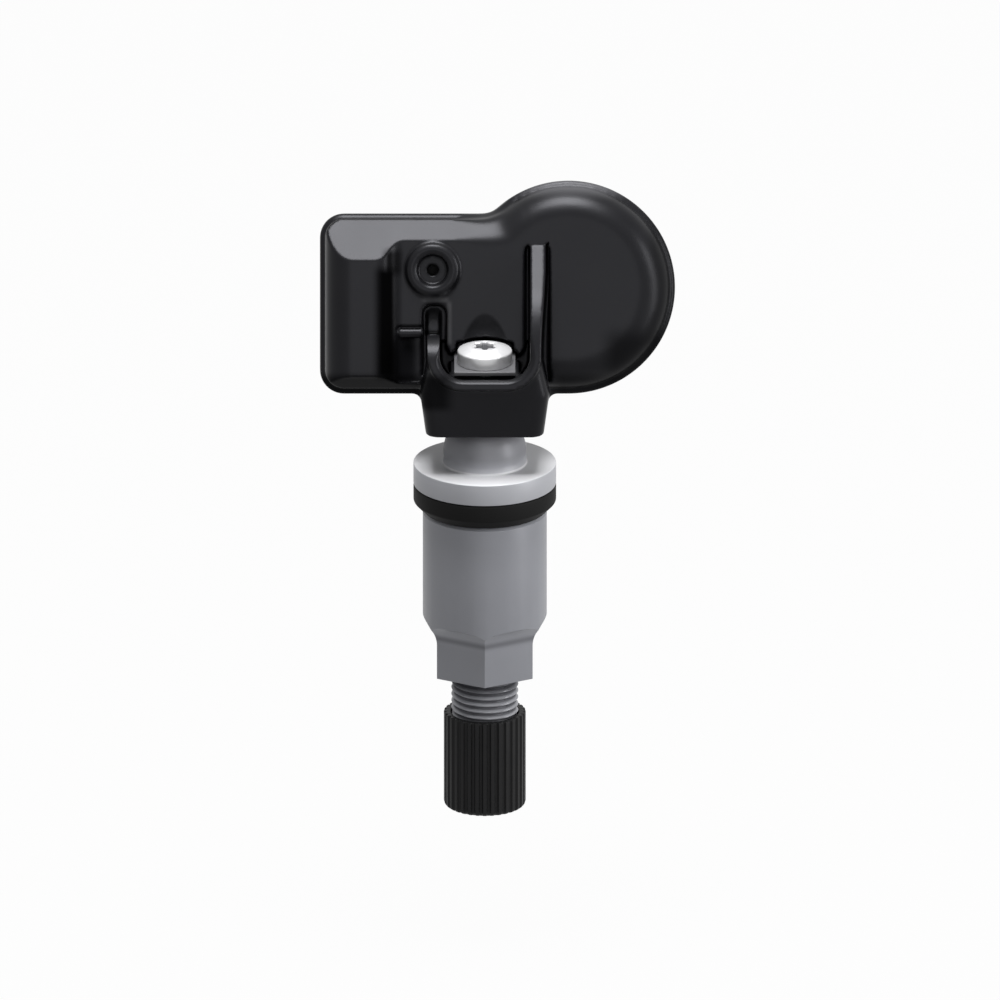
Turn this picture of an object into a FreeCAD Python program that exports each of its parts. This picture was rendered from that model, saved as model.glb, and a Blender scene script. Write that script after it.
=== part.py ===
import FreeCAD, Part
import math
import os
from FreeCAD import Placement, Rotation, Vector

# Clamp-in tyre pressure sensor, in millimetres.
# Origin: centre of the valve flange's underside, where the valve seats on the wheel rim.
# +Z runs along the valve axis towards the sensor housing, -Y is the side with the pressure port.
# The housing has a frame of its own, centred on the ball neck: x to the right, u up along its
# face and w out of its face. At rest that frame leans back by the mounting angle.

# Clearances
running_fit = 0.05
free_gap = 0.15
insert_gap = 0.05
board_gap = 0.2

# Valve stem
flange_d = 16.4
flange_t = 2.5
flange_chamfer = 0.25
ball_r = 4.75
ball_rise = 1.4
ball_top_r = 3.2
neck_foot_r = 4.85
shoulder_d = 8.6
shoulder_len = 7.0
thread_d = 7.7
stem_end = 37.1
stem_chamfer = 0.5
air_bore_d = 3.0
air_bore_top = 2.9
cross_hole_d = 1.6
core_bore_d = 5.24
core_bore_len = 7.0
core_taper_len = 1.6
core_lower_bore_d = 4.3
core_lower_len = 12.0

# Valve core, measured inwards from the stem's mouth
core_inset = 0.6
core_head_len = 4.4
core_slot_w = 1.5
core_slot_depth = 1.6
core_barrel_d = 3.8
core_barrel_len = 10.0
core_chamber_d = 2.9
core_web = 1.6
core_gasket_len = 1.5
core_gasket_bite = 0.35
pin_d = 1.1
pin_inset = 0.9
pin_collar_d = 2.3
pin_collar_t = 0.8
pin_collar_rise = 1.0
pin_head_d = 1.9
pin_head_t = 0.6
pin_hole_d = 1.5
cup_d = 3.4
cup_t = 1.0
spring_wire_d = 0.3
spring_d = 2.2
spring_turns = 6
spring_steps = 12

# Rubber grommet
grommet_t = 2.0
grommet_taper_len = 1.1
grommet_neck_d = 11.2
grommet_neck_len = 2.4

# Collar nut
nut_gap = 0.1
nut_top = grommet_t + grommet_taper_len + nut_gap
nut_barrel_d = 14.25
nut_len = 19.7
nut_flats = 11.0
nut_flat_len = 4.05
nut_runout_r = 3.4
nut_counterbore_len = 6.0
nut_edge = 0.3

# Valve cap
cap_top = 27.9
cap_len = 11.4
cap_d = 9.4
cap_ribs = 32
cap_rib_depth = 0.26
cap_end_wall = 1.1
cap_end_round = 0.5
cap_seal_t = 1.0

# Saddle joint between valve and housing
mount_angle = 20.0
seat_r = 10.3
washer_side = 7.2
washer_plate_t = 0.45
washer_mid_t = 0.5
washer_foot_half = 2.6
track_top_r = 11.55
track_front_angle = 43.5
track_back_angle = -11.2
seat_back_angle = -12.0
notch_back_angle = -8.0
seat_side = 0.3
seat_front_w = 6.94
driver_relief_r = 3.38
slot_half_angle_front = 3.5
slot_half_angle_back = 11.5

# Fixing screw
screw_d = 3.5
screw_head_d = 6.3
screw_head_h = 1.5
screw_dome = 0.5
screw_crown_r = 1.7
screw_head_edge = 0.1
screw_bite = 3.2
torx_d = 2.74
torx_depth = 1.3

# Housing outline in x and u
body_left = -18.94
body_top = 27.2
body_bottom = 6.5
body_corner_r = 2.75
round_x = 9.62
round_r = 12.24
blend_r = 2.5
round_u = body_bottom + round_r

# Housing levels in w
back_w = -7.4
ledge_w = -1.2
ledge_step = 0.6
ledge_chamfer = 0.3
back_chamfer = 0.4
panel_w = 2.1
block_w = 3.65
rim_w = 9.2
round_edge_r = 3.9

# Left block and sloped facets
block_round_r = 3.2
block_flat_end = -12.7
block_drop_end = -9.2
top_facet_u = 21.8
top_facet_angle = 34.0
bottom_facet_u = 8.46
bottom_facet_angle = 64.0
lower_split_x = 2.0

# Saddle block
saddle_half_w = 7.42
saddle_draft = 8.0
saddle_draft_u = 6.5
saddle_front = 5.34
saddle_back = 5.34
saddle_bottom = 3.43
saddle_edge_r = 1.5
shoulder_u = 10.4
saddle_root_r = 1.0

# Arms, rim and pocket
pocket_half_w = 5.2
pocket_floor_u = 8.06
pocket_corner_r = 2.75
pocket_back_w = -2.2
pocket_roof_u = 12.6
rim_t = 1.26
rim_lip_t = 0.5
arm_left_t = 1.4
arm_right_t = 1.3
left_arm_top_u = 13.3
left_arm_round = 2.0
left_rib_w = 1.3
right_ramp_foot_u = 14.6
right_ramp_top_u = 23.6
right_ramp_bend_r = 14.0
slot_floor_w = 0.2
left_slot_x = -7.2
right_slot_x = 7.45
tongue_left_x = -4.35
tongue_right_x = 4.6
left_slot_top_u = 16.7
right_slot_top_u = 23.9
slot_corner_r = 1.1
tongue_corner_r = 1.3
tongue_bottom_u = 10.8

# Side recess and its cross bar
recess_x = -7.6
recess_r = 2.9
recess_top_u = 14.25
recess_bottom_u = 7.75
recess_w = 0.7
bar_u = 13.45
bar_r = 0.57
bar_w = 1.5

# Pressure port
port_x = -5.99
port_u = 20.69
port_hole_r = 0.64
port_floor_r = 1.75
port_floor_drop = 0.5
port_crest_r = 2.4
port_ring_r = 3.2
port_ring_h = 0.75

# Inside of the housing
wall = 1.2
board_ledge = 0.8
cover_t = 0.9
cover_rebate = 0.7
board_w = -4.8
board_t = 0.8
inner_wall = 0.9
cell_d = 20.0
cell_t = 3.2
cell_front_w = -3.0
cell_gap = 0.2
tab_t = 0.2
tab_w = 5.0
chip_side = 7.0
chip_t = 2.0
chip_lid_t = 0.3
gasket_r = 2.0
gasket_t = 1.0
port_boss_r = 2.4
filter_r = 1.2
filter_t = 0.5
coil_len = 11.4
coil_w = 3.4
coil_t = 2.6
coil_flange = 1.4
coil_wire_t = 0.5
coil_x = -14.4
coil_u = 16.6
crystal_l = 3.2
crystal_w = 2.5
crystal_t = 0.7
crystal_x = -12.4
crystal_u = 20.0
antenna_t = 0.25
antenna_h = 2.2
antenna_w = 1.4
antenna_l = 6.4
antenna_x = -16.2
antenna_rise = 2.91
chip_part_columns = 2
chip_part_rows = 3
chip_part_pitch = 1.5
chip_part_l = 1.0
chip_part_w = 0.6
chip_part_t = 0.5
chip_part_x = -12.2
chip_part_u = 15.0
cell_cap_t = 0.8
cell_cap_d = 17.6
cover_chamfer = 0.15
tab_foot = 1.2

# Places worked out from the sizes above
tilt_z = flange_t + ball_rise
cover_w = back_w + cover_t
cell_back_w = cell_front_w - cell_t
chip_front = board_w + chip_t
head_base = seat_r + washer_mid_t
head_side_top = head_base + screw_head_h
head_reach = max(math.hypot(head_side_top, screw_head_d / 2), head_side_top + screw_dome) + free_gap
tab_x = round_x - cell_d / 2 - cell_gap - board_gap - tab_t
antenna_u = port_u + antenna_rise
ball_top = math.sqrt(ball_r ** 2 - ball_top_r ** 2)
nut_bottom = nut_top + nut_len
hex_top = nut_bottom - nut_flat_len
axis_x = Vector(1, 0, 0)
axis_y = Vector(0, 1, 0)
axis_z = Vector(0, 0, 1)


def point(x, u, w):
    """A point of the housing's own frame."""
    return Vector(x, -w, u)


def polar(radius, degrees):
    """Width and height of a point on a circle."""
    angle = math.radians(degrees)
    return radius * math.cos(angle), radius * math.sin(angle)


def to_rest(shape):
    """Leans a housing piece back and puts it on the ball neck."""
    lean = Placement(Vector(0, 0, tilt_z), Rotation(axis_x, -mount_angle))
    moved = shape.copy()
    moved.Placement = lean.multiply(moved.Placement)
    return moved


def to_housing_frame(shape):
    """Gives a shape drawn on the upright valve axis its place in the housing's frame."""
    turned = shape.copy()
    turned.Placement = Placement(Vector(), Rotation(axis_x, mount_angle)).multiply(turned.Placement)
    return turned


def face_of(edges):
    """A flat face inside a closed run of edges."""
    return Part.Face(Part.Wire(edges))


def polygon(points):
    """A flat face with straight sides."""
    return Part.Face(Part.makePolygon(points + [points[0]]))


def line(a, b):
    return Part.LineSegment(a, b).toShape()


def arc(a, middle, b):
    return Part.Arc(a, middle, b).toShape()


def turned(points, axis_start=Vector(), axis=axis_z):
    """A solid of revolution from a list of (radius, height) points about Z."""
    section = polygon([Vector(r, 0, z) for r, z in points])
    return section.revolve(axis_start, axis, 360)


def rod(radius, low, high, x=0.0, y=0.0):
    """A round rod along Z."""
    return Part.makeCylinder(radius, high - low, Vector(x, y, low))


def ring(outer, inner, low, high):
    """A round ring along Z."""
    return rod(outer, low, high).cut(rod(inner, low, high))


def block(x0, x1, u0, u1, w0, w1):
    """A box in the housing's frame."""
    return Part.makeBox(x1 - x0, w1 - w0, u1 - u0, point(x0, u0, w1))


def disc(radius, x, u, w0, w1):
    """A round plate in the housing's frame, facing along w."""
    return Part.makeCylinder(radius, w1 - w0, point(x, u, w1), axis_y)


def rounded_block(x0, x1, u0, u1, w0, w1, radius):
    """A box with its four edges along w rounded."""
    solid = block(x0, x1, u0, u1, w0, w1)
    edges = [e for e in solid.Edges if abs(e.tangentAt(e.FirstParameter).y) > 0.9]
    return solid.makeFillet(radius, edges)


def ring_section(outer, inner, half_w, first, last):
    """Part of a ring about the tilt axis, between two angles from u towards w."""
    def at(radius, degrees):
        side, up = polar(radius, 90 - degrees)
        return point(-half_w, up, side)
    middle = (first + last) / 2
    section = face_of([
        arc(at(outer, first), at(outer, middle), at(outer, last)),
        line(at(outer, last), at(inner, last)),
        arc(at(inner, last), at(inner, middle), at(inner, first)),
        line(at(inner, first), at(outer, first)),
    ])
    return section.extrude(Vector(2 * half_w, 0, 0))


# The valve and what is fixed to it

def valve_stem():
    """Ball neck, flange, grommet shoulder and threaded shank, turned from one bar."""
    low, high = polar(ball_r, -8)[1], ball_top
    waist = polar(ball_r, -8)[0]
    flange_r = flange_d / 2
    shank_r = thread_d / 2
    equator = Vector(ball_r, 0, tilt_z)
    section = face_of([
        line(Vector(0, 0, tilt_z + high), Vector(ball_top_r, 0, tilt_z + high)),
        arc(Vector(ball_top_r, 0, tilt_z + high), equator, Vector(waist, 0, tilt_z + low)),
        line(Vector(waist, 0, tilt_z + low), Vector(neck_foot_r, 0, flange_t)),
        line(Vector(neck_foot_r, 0, flange_t), Vector(flange_r - flange_chamfer, 0, flange_t)),
        line(Vector(flange_r - flange_chamfer, 0, flange_t), Vector(flange_r, 0, flange_t - flange_chamfer)),
        line(Vector(flange_r, 0, flange_t - flange_chamfer), Vector(flange_r, 0, 0)),
        line(Vector(flange_r, 0, 0), Vector(shoulder_d / 2, 0, 0)),
        line(Vector(shoulder_d / 2, 0, 0), Vector(shoulder_d / 2, 0, -shoulder_len)),
        line(Vector(shoulder_d / 2, 0, -shoulder_len), Vector(shank_r, 0, -shoulder_len)),
        line(Vector(shank_r, 0, -shoulder_len), Vector(shank_r, 0, stem_chamfer - stem_end)),
        line(Vector(shank_r, 0, stem_chamfer - stem_end), Vector(shank_r - stem_chamfer, 0, -stem_end)),
        line(Vector(shank_r - stem_chamfer, 0, -stem_end), Vector(0, 0, -stem_end)),
        line(Vector(0, 0, -stem_end), Vector(0, 0, tilt_z + high)),
    ])
    stem = section.revolve(Vector(), axis_z, 360)
    mouth_top = core_bore_len - stem_end
    taper_top = mouth_top + core_taper_len
    lower_top = taper_top + core_lower_len
    stem = stem.cut(turned([
        (0, -stem_end), (core_bore_d / 2, -stem_end), (core_bore_d / 2, mouth_top),
        (core_lower_bore_d / 2, taper_top), (core_lower_bore_d / 2, lower_top),
        (air_bore_d / 2, lower_top + core_taper_len), (air_bore_d / 2, air_bore_top), (0, air_bore_top),
    ]))
    cross = Part.makeCylinder(cross_hole_d / 2, flange_d, Vector(0, 0, air_bore_top), axis_y)
    hole_bottom = tilt_z + ball_top - screw_bite - free_gap
    return stem.cut(cross).cut(rod(screw_d / 2, hole_bottom, tilt_z + ball_r))


def grommet():
    """Rubber seal with a tapered collar and a neck for the rim's hole."""
    flange_r = flange_d / 2
    foot = -grommet_t - grommet_taper_len
    bore = shoulder_d / 2
    return turned([
        (bore, 0), (flange_r, 0), (flange_r, -grommet_t), (nut_barrel_d / 2, foot),
        (grommet_neck_d / 2, foot), (grommet_neck_d / 2, foot - grommet_neck_len),
        (bore, foot - grommet_neck_len),
    ])


def torx_recess(top):
    """A six-lobed socket cut down from a given height."""
    tip_r, valley_r = torx_d / 2, torx_d * 0.36
    star = []
    for i in range(6):
        for turn, radius in ((-19, valley_r), (-9, tip_r), (9, tip_r), (19, valley_r)):
            x, y = polar(radius, 60 * i + 30 + turn)
            star.append(Vector(x, y, top - torx_depth))
    return polygon(star).extrude(Vector(0, 0, 2 * torx_depth))


def fixing_screw():
    """Domed pan head screw through the saddle into the ball neck."""
    base = tilt_z + head_base
    side = tilt_z + head_side_top
    top = side + screw_dome
    head_r, shank_r = screw_head_d / 2, screw_d / 2
    tip = tilt_z + ball_top - screw_bite
    edge_r = head_r - screw_head_edge
    screw = turned([
        (0, tip), (shank_r, tip), (shank_r, base), (head_r, base), (head_r, side - screw_head_edge),
        (edge_r, side), (screw_crown_r, top), (0, top),
    ])
    return screw.cut(torx_recess(top))


def saddle_washer():
    """Square washer: flat on top, with two feet that ride on the round saddle seat."""
    half = washer_side / 2
    top = head_base
    under = seat_r + running_fit
    plate = top - washer_plate_t
    foot_z = math.sqrt(under ** 2 - washer_foot_half ** 2)
    section = face_of([
        line(Vector(-half, -half, top), Vector(-half, half, top)),
        line(Vector(-half, half, top), Vector(-half, half, plate)),
        line(Vector(-half, half, plate), Vector(-half, washer_foot_half, plate)),
        line(Vector(-half, washer_foot_half, plate), Vector(-half, washer_foot_half, foot_z)),
        arc(Vector(-half, washer_foot_half, foot_z), Vector(-half, 0, under),
            Vector(-half, -washer_foot_half, foot_z)),
        line(Vector(-half, -washer_foot_half, foot_z), Vector(-half, -washer_foot_half, plate)),
        line(Vector(-half, -washer_foot_half, plate), Vector(-half, -half, plate)),
        line(Vector(-half, -half, plate), Vector(-half, -half, top)),
    ])
    washer = section.extrude(Vector(washer_side, 0, 0))
    washer = washer.cut(rod(screw_d / 2 + insert_gap, 0, head_base + screw_head_h))
    return washer.translated(Vector(0, 0, tilt_z))


def core_levels():
    """Heights of the valve core's shoulders above the origin."""
    head_low = core_inset - stem_end
    head_high = head_low + core_head_len
    barrel_high = head_high + core_barrel_len
    return head_low, head_high, barrel_high


def gasket_span():
    """The stretch of the core's barrel that carries its sealing ring."""
    low = core_bore_len - stem_end + (core_taper_len - core_gasket_len) / 2
    return low, low + core_gasket_len


def core_body():
    """Brass barrel of the valve core, screwed into the stem's mouth."""
    head_low, head_high, barrel_high = core_levels()
    head_r = core_bore_d / 2 - insert_gap
    body = rod(head_r, head_low, head_high).fuse(rod(core_barrel_d / 2, head_high, barrel_high))
    gasket_low, gasket_high = gasket_span()
    groove_r = core_barrel_d / 2 - core_gasket_bite
    body = body.cut(ring(head_r, groove_r, gasket_low, gasket_high))
    body = body.cut(rod(pin_hole_d / 2, head_low, barrel_high))
    chamber_low = head_high + pin_collar_rise - free_gap
    body = body.cut(rod(core_chamber_d / 2, chamber_low, barrel_high - core_web))
    slot = Part.makeBox(2 * head_r, core_slot_w, core_slot_depth, Vector(-head_r, -core_slot_w / 2, head_low))
    return body.cut(slot)


def core_gasket():
    """Sealing ring pinched between the core's groove and the stem's tapered bore."""
    low, high = gasket_span()
    groove_r = core_barrel_d / 2 - core_gasket_bite
    slope = (core_bore_d - core_lower_bore_d) / 2 / core_taper_len
    start = core_bore_len - stem_end

    def bore_at(z):
        return core_bore_d / 2 - slope * (z - start) - insert_gap
    return turned([(groove_r, low), (bore_at(low), low), (bore_at(high), high), (groove_r, high)])


def core_pin():
    """Pin of the valve core, with the collar that its spring pushes on."""
    low = pin_inset - stem_end
    head_high = core_levels()[1]
    collar_low = head_high + pin_collar_rise
    top = core_levels()[2] + cup_t
    pin = rod(pin_d / 2, low, top)
    pin = pin.fuse(rod(pin_collar_d / 2, collar_low, collar_low + pin_collar_t))
    return pin.fuse(rod(pin_head_d / 2, top, top + pin_head_t))


def core_cup_seal():
    """Rubber cup on the pin's inner end, which closes the core's barrel."""
    top = core_levels()[2]
    return ring(cup_d / 2, pin_d / 2, top, top + cup_t)


def core_spring():
    """Coil spring between the pin's collar and the barrel's inner web."""
    low = core_levels()[1] + pin_collar_rise + pin_collar_t + spring_wire_d / 2
    high = core_levels()[2] - core_web - spring_wire_d / 2
    coil_r = (spring_d - spring_wire_d) / 2
    half = spring_wire_d / 2
    steps = spring_turns * spring_steps
    sections = []
    for i in range(steps + 1):
        cos, sin = polar(1, 360 * i / spring_steps)
        z = low + (high - low) * i / steps
        corners = [(coil_r, -half), (coil_r + half, 0), (coil_r, half), (coil_r - half, 0)]
        points = [Vector(r * cos, r * sin, z + rise) for r, rise in corners]
        sections.append(Part.makePolygon(points + [points[0]]))
    return Part.makeLoft(sections, True, True)


def flat_cutter(turn):
    """What one pass of the cutter takes off the nut: a flat that runs out in an arc."""
    inner = nut_flats / 2
    far = inner + nut_runout_r
    low = -nut_bottom - nut_edge
    start = -hex_top
    bend = math.sqrt(0.5) * nut_runout_r
    section = face_of([
        line(Vector(inner, 0, low), Vector(inner, 0, start)),
        arc(Vector(inner, 0, start), Vector(far - bend, 0, start + bend),
            Vector(far, 0, start + nut_runout_r)),
        line(Vector(far, 0, start + nut_runout_r), Vector(far, 0, low)),
        line(Vector(far, 0, low), Vector(inner, 0, low)),
    ])
    cutter = section.extrude(Vector(0, 2 * nut_barrel_d, 0)).translated(Vector(0, -nut_barrel_d, 0))
    cutter.rotate(Vector(), axis_z, turn)
    return cutter


def collar_nut():
    """Round barrel over the grommet's neck, with six milled flats below."""
    barrel_r = nut_barrel_d / 2
    neck_r = grommet_neck_d / 2 + free_gap
    bore_r = thread_d / 2 + running_fit
    nut = turned([
        (neck_r, -nut_top), (barrel_r - nut_edge, -nut_top), (barrel_r, -nut_top - nut_edge),
        (barrel_r, -nut_bottom), (bore_r, -nut_bottom), (bore_r, -nut_top - nut_counterbore_len),
        (neck_r, -nut_top - nut_counterbore_len),
    ])
    for i in range(6):
        nut = nut.cut(flat_cutter(60 * i))
    return nut


def valve_cap():
    """Ribbed dust cap, closed at its lower end."""
    outer = cap_d / 2
    bottom = -cap_top - cap_len
    root = outer - cap_rib_depth
    step = 360 / cap_ribs
    rim = []
    for i in range(cap_ribs):
        for share, radius in ((-0.36, root), (-0.2, outer), (0.2, outer), (0.36, root)):
            x, y = polar(radius, step * (i + share))
            rim.append(Vector(x, y, bottom))
    cap = polygon(rim).extrude(Vector(0, 0, cap_len))
    edge_r = outer - cap_end_round
    edge_z = bottom + cap_end_round * 0.6
    cap = cap.common(turned([
        (0, bottom), (edge_r, bottom), (outer, edge_z), (outer, -cap_top), (0, -cap_top),
    ]))
    return cap.cut(rod(thread_d / 2 + running_fit, bottom + cap_end_wall, -cap_top))


def cap_seal():
    """Rubber disc in the cap's closed end."""
    low = -cap_top - cap_len + cap_end_wall
    return rod(thread_d / 2, low, low + cap_seal_t)


# The housing

def outline(inset, w):
    """Front view of the housing: a block with round corners that runs into a round end."""
    left, top, bottom = body_left + inset, body_top - inset, body_bottom + inset
    corner, big, blend = body_corner_r - inset, round_r - inset, blend_r + inset
    blend_x = round_x - math.sqrt((big + blend) ** 2 - (top + blend - round_u) ** 2)
    share = big / (big + blend)
    touch = (round_x + (blend_x - round_x) * share, round_u + (top + blend - round_u) * share)
    turn = math.degrees(math.atan2(touch[1] - (top + blend), touch[0] - blend_x))
    side, up = polar(blend, (turn - 90) / 2)
    bend = corner * (1 - math.sqrt(0.5))

    def at(x, u):
        return point(x, u, w)
    return face_of([
        line(at(left + corner, bottom), at(round_x, bottom)),
        arc(at(round_x, bottom), at(round_x + big, round_u), at(*touch)),
        arc(at(*touch), at(blend_x + side, top + blend + up), at(blend_x, top)),
        line(at(blend_x, top), at(left + corner, top)),
        arc(at(left + corner, top), at(left + bend, top - bend), at(left, top - corner)),
        line(at(left, top - corner), at(left, bottom + corner)),
        arc(at(left, bottom + corner), at(left + bend, bottom + bend), at(left + corner, bottom)),
    ])


def slab(inset, w0, w1):
    """The housing's outline, drawn in by an inset and made thick."""
    return outline(inset, w0).extrude(Vector(0, w0 - w1, 0))


def edges_at(solid, w):
    """The edges of a slab that lie in one plane across w."""
    return [e for e in solid.Edges if all(abs(v.Point.y + w) < 1e-6 for v in e.Vertexes)]


def base_slab():
    """Rear part of the housing, up to the step around its edge."""
    solid = slab(0, back_w, ledge_w)
    solid = solid.makeChamfer(ledge_chamfer, edges_at(solid, ledge_w))
    return solid.makeChamfer(back_chamfer, edges_at(solid, back_w))


def front_levels():
    """Stepped front of the block and panel, drawn across x and carried along u."""
    left = body_left + ledge_step
    drop = block_w - panel_w
    run = block_drop_end - block_flat_end
    bend_r = (run ** 2 + drop ** 2) / (4 * drop)
    half_angle = math.degrees(math.atan2(drop, run))
    middle = ((block_flat_end + block_drop_end) / 2, (block_w + panel_w) / 2)
    side, up = polar(bend_r, 90 - half_angle)
    start = block_w - block_round_r
    bend = block_round_r * (1 - math.sqrt(0.5))

    def at(x, w):
        return point(x, 0, w)
    return face_of([
        line(at(left, back_w), at(left, start)),
        arc(at(left, start), at(left + bend, block_w - bend), at(left + block_round_r, block_w)),
        line(at(left + block_round_r, block_w), at(block_flat_end, block_w)),
        arc(at(block_flat_end, block_w), at(block_flat_end + side, block_w - bend_r + up), at(*middle)),
        arc(at(*middle), at(block_drop_end - side, panel_w + bend_r - up), at(block_drop_end, panel_w)),
        line(at(block_drop_end, panel_w), at(round_x, panel_w)),
        line(at(round_x, panel_w), at(round_x, back_w)),
        line(at(round_x, back_w), at(left, back_w)),
    ]).extrude(Vector(0, 0, body_top))


def upper_side():
    """Upper half of the block and panel, with the sloped facet along its top."""
    rise = body_top - top_facet_u
    drop = rise * math.tan(math.radians(top_facet_angle))
    return polygon([
        point(body_left, round_u, back_w), point(body_left, body_top, back_w),
        point(body_left, body_top, block_w - drop), point(body_left, top_facet_u, block_w),
        point(body_left, round_u, block_w),
    ]).extrude(Vector(round_x - body_left, 0, 0))


def lower_left_side():
    """Lower half of the block, with the steep facet along its foot."""
    run = bottom_facet_u - body_bottom
    drop = run * math.tan(math.radians(bottom_facet_angle))
    return polygon([
        point(body_left, round_u, back_w), point(body_left, body_bottom, back_w),
        point(body_left, body_bottom, block_w - drop), point(body_left, bottom_facet_u, block_w),
        point(body_left, round_u, block_w),
    ]).extrude(Vector(lower_split_x - body_left, 0, 0))


def round_edge(radius):
    """Section of the round end's front edge, from its axis out to a radius."""
    flat = radius - round_edge_r
    bend = round_edge_r * math.sqrt(0.5)
    start = panel_w - round_edge_r
    return flat, bend, start


def round_end():
    """Round end with its big front edge radius."""
    big = round_r - ledge_step
    flat, bend, start = round_edge(big)

    def at(r, w):
        return point(round_x + r, round_u, w)
    return face_of([
        line(at(0, back_w + wall), at(big, back_w + wall)),
        line(at(big, back_w + wall), at(big, start)),
        arc(at(big, start), at(flat + bend, start + bend), at(flat, panel_w)),
        line(at(flat, panel_w), at(0, panel_w)),
        line(at(0, panel_w), at(0, back_w + wall)),
    ]).revolve(point(round_x, round_u, 0), axis_y, 360)


def lower_right_side():
    """Straight stretch between saddle and round end, with the round end's edge along its foot."""
    foot = round_u - (round_r - ledge_step)
    flat, bend, start = round_edge(round_r - ledge_step)

    def at(u, w):
        return point(lower_split_x, u, w)
    return face_of([
        line(at(round_u, back_w + wall), at(foot, back_w + wall)),
        line(at(foot, back_w + wall), at(foot, start)),
        arc(at(foot, start), at(round_u - flat - bend, start + bend), at(round_u - flat, panel_w)),
        line(at(round_u - flat, panel_w), at(round_u, panel_w)),
        line(at(round_u, panel_w), at(round_u, back_w + wall)),
    ]).extrude(Vector(round_x - lower_split_x, 0, 0))


def body_block():
    """Outside of the housing, without the saddle."""
    upper = slab(ledge_step, back_w + wall, block_w).common(front_levels())
    sides = upper_side().fuse(lower_left_side())
    front = upper.common(sides)
    return base_slab().fuse([front, round_end(), lower_right_side()])


def port_ring():
    """Raised ring around the pressure port, with sloped flanks."""
    root = panel_w - port_ring_h
    crest = panel_w + port_ring_h

    def at(r, w):
        return point(port_x + r, port_u, w)
    return face_of([
        line(at(0, root), at(port_ring_r, root)),
        line(at(port_ring_r, root), at(port_ring_r, panel_w)),
        line(at(port_ring_r, panel_w), at(port_ring_r - port_ring_h * 0.3, crest - port_ring_h * 0.3)),
        line(at(port_ring_r - port_ring_h * 0.3, crest - port_ring_h * 0.3), at(port_crest_r, crest)),
        line(at(port_crest_r, crest), at(0, crest)),
        line(at(0, crest), at(0, root)),
    ]).revolve(point(port_x, port_u, 0), axis_y, 360)


def port_well():
    """Round floor inside the port ring, with a chamfered way in."""
    floor = panel_w - port_floor_drop
    crest = panel_w + port_ring_h
    return polygon([
        point(port_x, port_u, floor), point(port_x + port_floor_r, port_u, floor),
        point(port_x + port_floor_r, port_u, crest - port_ring_h * 0.4),
        point(port_x + port_crest_r, port_u, crest),
        point(port_x + port_crest_r, port_u, crest + port_ring_h),
        point(port_x, port_u, crest + port_ring_h),
    ]).revolve(point(port_x, port_u, 0), axis_y, 360)


def saddle_half_at(u):
    """Half width of the saddle block at a height."""
    return saddle_half_w - (saddle_draft_u - u) * math.tan(math.radians(saddle_draft))


def saddle_block():
    """Tapered block that carries the seat and sits on the ball neck."""
    low, high = -saddle_front, saddle_draft_u
    depth = saddle_front + saddle_back
    top_half = pocket_half_w + arm_right_t
    trapezoid = polygon([
        point(-saddle_half_at(low), low, -rim_w), point(saddle_half_at(low), low, -rim_w),
        point(saddle_half_w, high, -rim_w), point(top_half, shoulder_u, -rim_w),
        point(-top_half, shoulder_u, -rim_w), point(-saddle_half_w, high, -rim_w),
    ]).extrude(Vector(0, -rim_w - 2 * depth, 0))
    upright = Part.makeBox(4 * saddle_half_w, depth, 2 * seat_r,
                           Vector(-2 * saddle_half_w, -saddle_front, saddle_bottom))
    solid = trapezoid.common(to_housing_frame(upright))
    front = [e for e in solid.Edges if abs(e.CenterOfMass.x) > ball_r and e.CenterOfMass.y < 0
             and abs(e.tangentAt(e.FirstParameter).z) > 0.8]
    solid = solid.makeFillet(saddle_edge_r, front)
    in_front = block(-2 * saddle_half_w, 2 * saddle_half_w, -rim_w, 2 * seat_r, rim_w, 2 * rim_w)
    return solid.cut([in_front, pocket_tool(-2 * rim_w, 2 * rim_w, body_top)])


def saddle_root():
    """Concave fillets between the saddle block's sides and the housing's lower edge."""
    lean = math.radians(saddle_draft)
    centre_u = body_bottom - saddle_root_r
    touch_u = centre_u + saddle_root_r * math.sin(lean)
    touch_x = saddle_half_at(touch_u)
    centre_x = touch_x + saddle_root_r * math.cos(lean)
    side, up = polar(saddle_root_r, 135)
    inside = touch_x - saddle_root_r
    roots = []
    for sign in (-1, 1):
        def at(x, u):
            return point(sign * x, u, ledge_w - ledge_chamfer)
        section = face_of([
            arc(at(touch_x, touch_u), at(centre_x + side, centre_u + up), at(centre_x, body_bottom)),
            line(at(centre_x, body_bottom), at(centre_x, pocket_floor_u)),
            line(at(centre_x, pocket_floor_u), at(inside, pocket_floor_u)),
            line(at(inside, pocket_floor_u), at(inside, touch_u)),
            line(at(inside, touch_u), at(touch_x, touch_u)),
        ])
        roots.append(section.extrude(Vector(0, 2 * wall, 0)))
    return roots


def u_profile(left, right, floor, corner, top, w):
    """A U shape with round lower corners, in the housing's frame."""
    bend = corner * (1 - math.sqrt(0.5))

    def at(x, u):
        return point(x, u, w)
    return face_of([
        line(at(left, top), at(left, floor + corner)),
        arc(at(left, floor + corner), at(left + bend, floor + bend), at(left + corner, floor)),
        line(at(left + corner, floor), at(right - corner, floor)),
        arc(at(right - corner, floor), at(right - bend, floor + bend), at(right, floor + corner)),
        line(at(right, floor + corner), at(right, top)),
        line(at(right, top), at(left, top)),
    ])


def pocket_tool(w0, w1, top):
    """The room between the arms."""
    profile = u_profile(-pocket_half_w, pocket_half_w, pocket_floor_u, pocket_corner_r, top, w0)
    return profile.extrude(Vector(0, w0 - w1, 0))


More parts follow.
